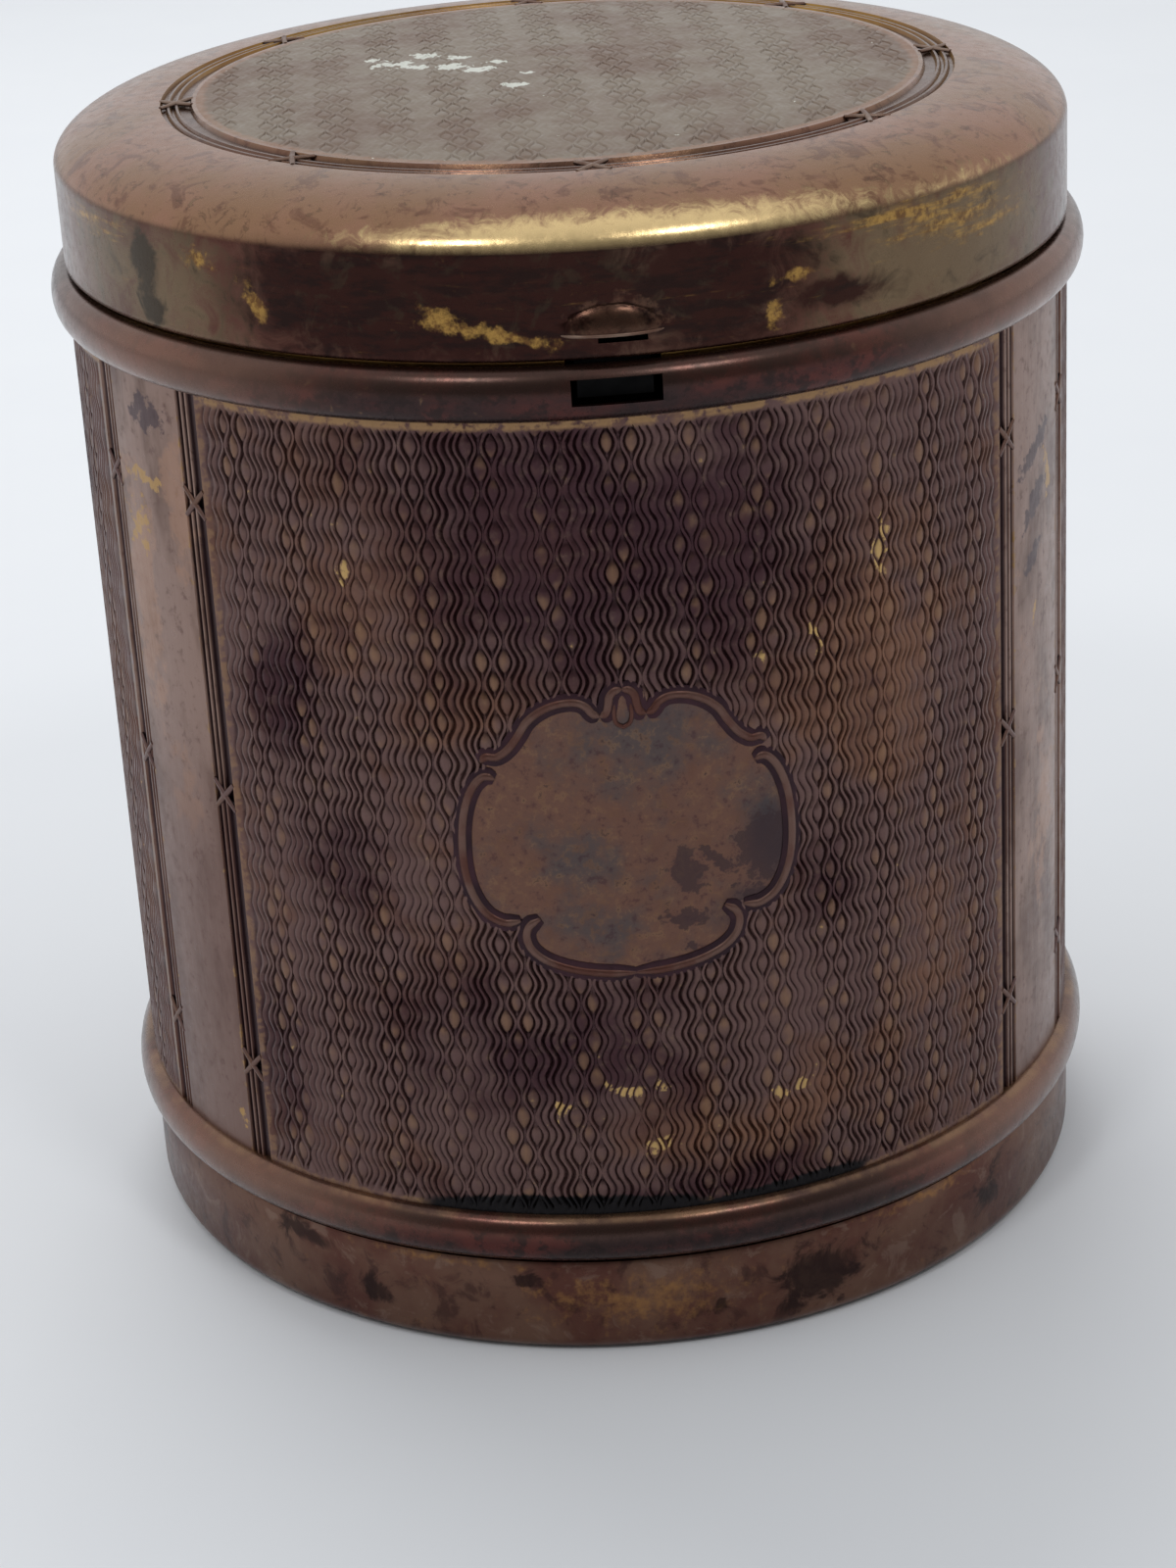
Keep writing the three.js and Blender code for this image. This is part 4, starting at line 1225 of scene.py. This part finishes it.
def panel_finish(name, gold_places, warm_places, dark_places, stain_places):
    """Brown patina of a panel: dark in the cuts, with painted shade there, warm on some seeds, worn to
    brass in places, and on the front darker down the middle with a painted dark reflection.
    """
    finish = Finish(name)
    place = finish.round_wall(1.6, 2.6)
    relief = finish.layer("relief")
    broad = finish.noise(6.0, 4.0)
    fine = finish.noise(0.9, 3.0, 0.65)

    warm = finish.worn(finish.spots(place, warm_places), broad, 0.3, 0.48, 0.72)
    # Dark patches of patina; on the front panel they are partly a painted dark reflection
    dark = finish.worn(finish.spots(place, dark_places), broad, 0.45, 0.5, 0.86)
    colour = finish.mix(warm, LAND, WARM_LAND)
    colour = finish.lay(colour, DARK_LAND, 0.9, dark)
    tops = finish.fade(fine, 0.5, 0.72)
    colour = finish.lay(colour, GREY_BROWN, 0.2, tops)
    seeds = finish.times(finish.layer("seed"), finish.fade(finish.noise(2.6, 2.0), 0.46, 0.66))
    colour = finish.lay(colour, SEED_TAN, 0.55, seeds)

    gold = finish.worn(finish.spots(place, gold_places), fine)
    gold = finish.times(gold, finish.fade(relief, 0.5, 0.9))
    colour = finish.mix(gold, colour, FLECK_GOLD)
    rim = finish.worn(finish.layer("border"), fine, 0.3, 0.62, 0.9)
    colour = finish.lay(colour, TAN, 0.5, rim)
    near_bead = finish.rise(UPPER_BEAD[0] - 0.55, UPPER_BEAD[0] - 0.35)
    colour = finish.mix(finish.times(near_bead, finish.fade(fine, 0.36, 0.54)), colour, RUBBED)
    # Cuts darkened by their relief: dark patina and painted shade in the grooves
    cut = finish.fade(finish.calc("ADD", relief, finish.times(fine, 0.35)), 0.98, 0.46)
    cut = finish.times(cut, finish.uneven(0.15, 0.7, finish.noise(1.7, 3.0, 0.6)))
    colour = finish.mix(cut, colour, CUT)
    stain = finish.fade(finish.spots(finish.round_wall(0.4, 1.5), stain_places), 0.1, 0.3)
    colour = finish.mix(stain, colour, STAIN)
    finish.bump(fine, 0.05)
    return finish.done(colour, finish.uneven(0.28, 0.46, fine), 0.75)


def field_finish():
    """The bare field of the cartouche: coppery, with blue-grey clouds and dark purple stains."""
    finish = Finish("bare_field")
    place = finish.round_wall(0.9, 1.6)
    broad = finish.noise(2.6, 5.0, 0.62)
    fine = finish.noise(0.7, 4.0, 0.65)
    cool = finish.worn(finish.spots(place, FIELD_COOL), broad, 0.42, 0.46, 0.86)
    colour = finish.mix(cool, FIELD_COPPER, FIELD_GREY)
    colour = finish.lay(colour, TAN, 0.4, finish.fade(fine, 0.5, 0.68))
    colour = finish.lay(colour, DARK_LAND, 0.55, finish.fade(fine, 0.46, 0.3))
    patches = finish.fade(finish.noise(1.4, 5.0, 0.7), 0.52, 0.64)
    colour = finish.lay(colour, RED_BROWN, 0.35, patches)
    shade = finish.fade(finish.spots(place, FIELD_SHADE), 0.05, 0.8)
    colour = finish.lay(colour, FIELD_SHADOW, 0.7, shade)
    stain = finish.worn(finish.spots(place, FIELD_DARK), fine, 0.55, 0.62, 0.74)
    colour = finish.lay(colour, FIELD_STAIN, 0.75, stain)
    finish.bump(fine, 0.06)
    return finish.done(colour, finish.uneven(0.3, 0.46, fine), 0.65)


def band_finish():
    """The plain bands: smoother and lighter, with scratches down their length and a few stains."""
    finish = Finish("band_patina")
    place = finish.round_wall(0.9, 1.8)
    fine = finish.noise(0.9, 4.0, 0.65)
    broad = finish.noise(5.0, 4.0, 0.62, (1, 1, 2.5))
    colour = finish.mix(finish.fade(broad, 0.4, 0.6), BAND_GREY, BROWN)
    colour = finish.lay(colour, RED_BROWN, 0.7, finish.fade(broad, 0.52, 0.66))
    colour = finish.lay(colour, RED_BROWN, 0.6, finish.fade(fine, 0.55, 0.7))
    warm = finish.worn(finish.spots(place, BAND_WARM), finish.noise(2.4, 4.0, 0.65), 0.5, 0.62, 0.8)
    colour = finish.lay(colour, COPPER, 0.6, warm)
    dusk = finish.fade(finish.spots(place, BAND_DUSK), 0.0, 0.9)
    colour = finish.lay(colour, RED_BROWN, 0.6, dusk)
    dark = finish.worn(finish.spots(place, BAND_DARK), fine, 0.5, 0.68, 0.82)
    colour = finish.lay(colour, DARK_LAND, 0.85, dark)
    gold = finish.worn(finish.spots(place, BAND_GOLD), fine)
    edge = finish.worn(finish.layer("border"), fine, 0.35, 0.7, 0.9)
    gold = finish.calc("MAXIMUM", finish.times(gold, 0.8), finish.times(edge, 0.6))
    colour = finish.mix(gold, colour, GOLD)
    # Engraved lines darkened by their relief: dark patina and painted shade
    cut = finish.fade(finish.layer("relief"), 0.8, 0.2)
    colour = finish.lay(colour, CUT, 0.9, cut)
    finish.bump(finish.noise(0.4, 3.0, 0.6, (1, 1, 14)), 0.012)
    return finish.done(colour, finish.uneven(0.26, 0.42, fine), 0.75, 0.2)


def ribbon_finish(name, top, other_top, edge):
    """Raised lines: dark where they meet the sheet, a painted shade in that crease, worn to another tone on
    top.
    """
    finish = Finish(name)
    fine = finish.noise(0.8, 4.0, 0.65)
    colour = finish.mix(finish.fade(finish.noise(4.0), 0.4, 0.62), top, other_top)
    lift = finish.calc("ADD", finish.layer("relief"), finish.times(fine, 0.3))
    # Painted shade in the crease where a raised line meets the sheet
    low = finish.fade(lift, edge, edge - 0.4)
    colour = finish.lay(colour, CUT, 0.9, low)
    finish.bump(fine, 0.02)
    return finish.done(colour, finish.uneven(0.3, 0.5, fine), 0.65)


def bead_finish():
    """The beads: dark red, smooth and glossy, a little worn to brass, and browner on the upper half of each
    bead as a painted reflection of the pale room.
    """
    finish = Finish("bead_patina")
    fine = finish.noise(1.1, 5.0, 0.68)
    broad = finish.noise(7.0, 4.0, 0.6, (1, 1, 0.5))
    colour = finish.lay(BEAD_DARK, BEAD_RED, 0.7, finish.fade(broad, 0.42, 0.68))
    colour = finish.lay(colour, DARK_MAROON, 0.8, finish.fade(fine, 0.48, 0.62))
    colour = finish.lay(colour, TAN, 0.35, finish.fade(fine, 0.38, 0.28))
    from_foot = finish.calc("SUBTRACT", finish.split()[2], LOWER_BEAD[0] * MM)
    in_bead = finish.calc("MODULO", from_foot, (UPPER_BEAD[0] - LOWER_BEAD[0]) * MM)
    # Upper half of each bead made browner: a painted reflection of the pale room
    upper_half_reflection = finish.fade(in_bead, 1.5 * MM, 2.6 * MM)
    colour = finish.lay(colour, BROWN, 0.3, upper_half_reflection)
    pale = finish.fade(finish.spots(finish.round_wall(2.0, 3.0), BEAD_PALE), 0.1, 0.9)
    colour = finish.lay(colour, BEAD_COPPER, 0.55, pale)
    top = LOWER_BEAD[1]
    crest = finish.times(finish.rise(top - 0.5, top - 0.15), finish.rise(top + 2, top + 1))
    rubbed = finish.times(crest, finish.fade(finish.noise(3.0, 4.0), 0.36, 0.64))
    colour = finish.lay(colour, TAN, 0.5, rubbed)
    finish.bump(fine, 0.015)
    return finish.done(colour, finish.uneven(0.2, 0.34, fine), 0.85, 0.3)


def base_finish():
    """The base and the hinge leaf: brown, clouded and spotted with dark stains."""
    finish = Finish("base_patina")
    place = finish.round_wall(1.0, 1.8)
    fine = finish.noise(0.9, 4.0, 0.66)
    veins = finish.noise(2.6, 5.0, 0.66, (1, 1, 1), 0.6)
    colour = finish.mix(finish.fade(finish.noise(8.0), 0.4, 0.62), BROWN, RED_BROWN)
    colour = finish.lay(colour, MAROON, 0.6, finish.fade(veins, 0.52, 0.64))
    colour = finish.lay(colour, GREY_BROWN, 0.35, finish.fade(veins, 0.44, 0.34))
    gold = finish.worn(finish.spots(place, BASE_GOLD), fine, 0.5, 0.6, 1.0)
    colour = finish.lay(colour, BASE_TAN, 0.7, gold)
    dark = finish.worn(finish.spots(place, BASE_DARK), veins, 0.5, 0.64, 0.84)
    colour = finish.lay(colour, DARK_MAROON, 0.8, dark)
    finish.bump(fine, 0.02)
    return finish.done(colour, finish.uneven(0.26, 0.4, fine), 0.8, 0.04)


def lid_finish():
    """The lid: dark red side worn to gold in streaks and along its rim, with a painted highlight over the
    rim's gold and a painted dark reflection in the middle of the front, and a coppery veined shoulder.
    """
    finish = Finish("lid_patina")
    place = finish.round_wall(0.7, 1.4)
    fine = finish.noise(0.8, 4.0, 0.66)
    veins = finish.noise(2.2, 5.0, 0.66, (1, 1, 1), 0.8)
    broad = finish.noise(8.0)
    side = finish.mix(finish.fade(broad, 0.38, 0.6), BROWN, RED_BROWN)
    side = finish.lay(side, MAROON, 0.5, finish.fade(veins, 0.52, 0.66))
    olive = finish.worn(finish.spots(place, SKIRT_OLIVE), veins, 0.6, 0.5, 0.9)
    side = finish.lay(side, OLIVE, 0.75, olive)
    # Darkest middle of the front: dark patina and a painted dark reflection
    dark = finish.worn(finish.spots(place, SKIRT_DARK_AND_REFLECTION), veins, 0.9, 0.5, 0.95)
    scratched = finish.noise(0.9, 5.0, 0.7, (4, 4, 1))
    red = finish.mix(finish.fade(scratched, 0.44, 0.6), SKIRT_RED, DARK_MAROON)
    red = finish.lay(red, DARK_OLIVE, 0.5, finish.fade(veins, 0.48, 0.36))
    side = finish.lay(side, red, 0.95, dark)
    drip = finish.worn(finish.spots(place, SKIRT_DRIP), veins, 0.5, 0.62, 0.9)
    side = finish.lay(side, DARK_OLIVE, 0.9, drip)
    shoulder = finish.mix(finish.fade(broad, 0.38, 0.62), SHOULDER_COPPER, SHOULDER_TAN)
    shoulder = finish.lay(shoulder, RED_BROWN, 0.5, finish.fade(veins, 0.52, 0.64))
    threads = finish.noise(1.5, 6.0, 0.75, (1, 1, 1), 1.4)
    shoulder = finish.lay(shoulder, MAROON, 0.5, finish.fade(threads, 0.55, 0.63))
    out = finish.from_axis()
    past_inner = finish.fade(out, (RING_IN - 0.1) * MM, (RING_IN + 0.2) * MM)
    in_ring = finish.times(past_inner, finish.fade(out, RING_OUT * MM, (RING_OUT - 0.2) * MM))
    shoulder = finish.lay(shoulder, MAROON, 0.6, in_ring)
    on_top = finish.rise(SKIRT_TOP + 0.05, SKIRT_TOP + 0.55)
    colour = finish.mix(on_top, side, shoulder)
    hood = finish.worn(finish.spots(place, HOOD_COPPER), fine, 0.6, 0.66, 0.9)
    colour = finish.lay(colour, COPPER, 0.2, hood)
    gold = finish.worn(finish.spots(place, SKIRT_GOLD), fine, 0.6, 0.66, 0.98)
    lines = finish.noise(0.45, 4.0, 0.7, (9, 9, 1))
    streaks = finish.worn(finish.spots(place, SKIRT_STREAKS), lines, 0.45, 0.62, 0.98)
    bare = finish.calc("MAXIMUM", gold, streaks)
    brass = finish.mix(finish.fade(finish.noise(0.7, 4.0, 0.7), 0.38, 0.6), DARK_BRASS, GOLD)
    colour = finish.lay(colour, brass, 0.85, bare)
    # Pale gold along the rim: brass worn bare there, with a painted highlight over it
    even_place = finish.round_wall(0.15, 1.4)
    rim = finish.worn(finish.spots(even_place, RIM_WEAR_AND_HIGHLIGHT), threads, 0.6, 0.58, 1.05)
    colour = finish.mix(finish.times(rim, on_top), colour, PALE_GOLD_HIGHLIGHT)
    finish.bump(fine, 0.015)
    return finish.done(colour, finish.uneven(0.18, 0.32, fine), 0.9, 0.08)


def medallion_finish():
    """The engine-turned disc: greyer, with flecks of old whitewash."""
    finish = Finish("medallion_patina")
    fine = finish.noise(0.9, 3.0, 0.65)
    colour = finish.mix(finish.fade(finish.noise(9.0), 0.4, 0.66), DISC_GREY, DISC_BROWN)
    colour = finish.lay(colour, COPPER, 0.5, finish.layer("border"))
    # Cuts darkened a little by their relief: dark patina and painted shade
    cut = finish.fade(finish.calc("ADD", finish.layer("relief"), finish.times(fine, 0.4)), 1.05, 0.4)
    colour = finish.lay(colour, CUT, 0.22, cut)
    fleck_place = finish.seen_from_above(1.0, 1.0)
    flecks = finish.worn(finish.spots(fleck_place, LID_FLECKS), fine, 0.5, 0.72, 0.76)
    colour = finish.mix(flecks, colour, WHITEWASH)
    finish.bump(fine, 0.03)
    return finish.done(colour, finish.uneven(0.34, 0.54, fine), 0.5)


def lining_finish():
    """The inside of the tin: lacquered brass, dulled and spotted."""
    finish = Finish("lacquered_inside")
    colour = finish.mix(finish.fade(finish.noise(9.0), 0.35, 0.65), LINING, DULL_LINING)
    spots = finish.fade(finish.noise(2.2, 5.0, 0.7), 0.6, 0.72)
    colour = finish.lay(colour, LINING_SPOT, 0.6, spots)
    finish.bump(finish.noise(0.6), 0.01)
    return finish.done(colour, finish.uneven(0.3, 0.46, finish.noise(3.0)), 0.9)


def brass_finish():
    """Neck, pin and rivets: drawn brass with fine lines round it."""
    finish = Finish("drawn_brass")
    colour = finish.mix(finish.fade(finish.noise(5.0), 0.35, 0.65), BRASS, DULL_BRASS)
    tarnish = finish.fade(finish.noise(1.4, 5.0, 0.7), 0.58, 0.72)
    colour = finish.lay(colour, TARNISH, 0.55, tarnish)
    lines = finish.noise(0.25, 2.0, 0.5, (40, 40, 1))
    finish.bump(lines, 0.006)
    return finish.done(colour, finish.uneven(0.24, 0.4, lines), 0.95)


def spring_finish():
    """Blackened spring steel, rubbed grey in patches."""
    finish = Finish("blackened_steel")
    colour = finish.mix(finish.fade(finish.noise(3.0), 0.45, 0.7), SPRING_BLACK, SPRING_GREY)
    finish.bump(finish.noise(0.3, 3.0, 0.6, (1, 1, 12)), 0.006)
    finish.shader.inputs["Specular IOR Level"].default_value = SPRING_GLOSS
    return finish.done(colour, finish.uneven(0.45, 0.65, finish.noise(0.8)), 0.3)


def camera():
    pitch, turn, roll = CAMERA_PITCH, CAMERA_TURN, CAMERA_ROLL
    ahead = Vector((math.sin(turn) * math.cos(pitch), math.cos(turn) * math.cos(pitch), -math.sin(pitch)))
    right = Vector((math.cos(turn), -math.sin(turn), 0.0))
    up = right.cross(ahead)
    rolled_right = right * math.cos(roll) + up * math.sin(roll)
    rolled_up = up * math.cos(roll) - right * math.sin(roll)
    data = bpy.data.cameras.new("camera")
    data.sensor_width = SENSOR
    data.lens = FOCAL_PIXELS / max(PICTURE) * SENSOR
    data.clip_start = NEAREST
    seen_from = linked("camera", data)
    turn_to = Matrix((rolled_right, rolled_up, -ahead)).transposed()
    seen_from.matrix_world = Matrix.Translation(Vector(CAMERA_AT) * MM) @ turn_to.to_4x4()
    bpy.context.scene.camera = seen_from


def paper_floor():
    bm = bmesh.new()
    bmesh.ops.create_grid(bm, x_segments=1, y_segments=1, size=FLOOR_HALF)
    floor = linked("floor", mesh_of(bm, "floor"))
    paper = Finish("white_paper")
    colour = paper.mix(paper.noise(30.0, 3.0), PAPER, PAPER_SHADE)
    floor.data.materials.append(paper.done(colour, 0.9, 0.0))


def soft_light(name, place, aim, size, power, in_gloss):
    data = bpy.data.lights.new(name, "AREA")
    data.shape = "DISK"
    data.size = size
    data.energy = power
    lamp = linked(name, data)
    lamp.visible_glossy = in_gloss
    lamp.location = place
    lamp.rotation_euler = (Vector(aim) - Vector(place)).to_track_quat("-Z", "Y").to_euler()


def room_light():
    """A pale room that is dimmer in front of the tin, where the viewer stands."""
    world = bpy.data.worlds.new("room")
    world.use_nodes = True
    room = Nodes(world.node_tree)
    place = room.add("ShaderNodeTexCoord").outputs["Generated"]
    to_back = room.add("ShaderNodeSeparateXYZ", {0: place}).outputs["Y"]
    sockets = {"Value": to_back, "From Min": -0.95, "From Max": 0.1, "To Min": 0.15, "To Max": 0.8}
    strength = room.add("ShaderNodeMapRange", sockets, interpolation_type="SMOOTHSTEP").outputs["Result"]
    background = world.node_tree.nodes["Background"]
    room.put(background.inputs["Color"], ROOM_WHITE)
    room.put(background.inputs["Strength"], strength)
    bpy.context.scene.world = world
    bpy.context.scene.view_settings.view_transform = "Standard"


camera()
front = panel_finish("front_patina", PANEL_GOLD, PANEL_WARM, PANEL_DARK_AND_REFLECTION, PANEL_STAIN)
sides = panel_finish("side_patina", SIDE_GOLD, SIDE_WARM, SIDE_DARK, SIDE_STAIN)
bands = band_finish()
frame_finish = ribbon_finish("frame_lines", FRAME_BROWN, RED_BROWN, 0.9)
# Dark bed under the frame lines: dark patina of the grooves and their painted shade
frame_shade_bed = ribbon_finish("frame_shade_bed", CUT, DARK_LAND, 0.2)
ribbons = ribbon_finish("ribbons", LAND, BROWN, 0.85)
lid_ribbons = ribbon_finish("lid_ribbons", GREY_BROWN, BROWN, 0.75)
beads = bead_finish()
base_sheet = base_finish()
lid_sheet = lid_finish()
lining = lining_finish()
brass = brass_finish()

band_edges = [(m - BAND_HALF, m + BAND_HALF) for m in BAND_ANGLES]
engraved_panel("front_panel", band_edges[0][1], band_edges[1][0], [front, field_finish()])
engraved_panel("right_panel", band_edges[1][1], band_edges[2][0], [sides])
engraved_panel("left_panel", band_edges[2][1] - 360, band_edges[0][0], [sides])
for band_name, band_middle in zip(("left_band", "right_band", "back_band"), BAND_ANGLES):
    engraved_band(band_name, band_middle, bands)
cartouche_frame(frame_finish, frame_shade_bed)
wall_ties(ribbons)
wall_shell(beads, lining)
hinge_seat(base_sheet)
base_pressing(base_sheet, lining)
neck(brass)
lid_cap(lid_sheet, lining)
louvre_lip(lid_ribbons)
lid_medallion(medallion_finish())
lid_ties(lid_ribbons)

spans = knuckle_spans()
body_tab = (BODY_LEAF[1] - SHEET, HINGE_LEVEL - KNUCKLE_BORE - TAB_GRIP)
lid_tab = (HINGE_LEVEL + KNUCKLE_BORE + TAB_GRIP, LID_LEAF[0] + SHEET)
hinge_leaf(
    "body_leaf", "hinge_body_leaf", "tin", BODY_LEAF, body_tab, spans[::2], base_sheet
)
hinge_leaf("lid_leaf", "hinge_lid_leaf", "lid", LID_LEAF, lid_tab, spans[1::2], lid_sheet)
hinge_pin(brass)
rivets(brass)
keep_spring(spring_finish())

paper_floor()
room_light()
for lamp_facts in LAMPS:
    soft_light(*lamp_facts)
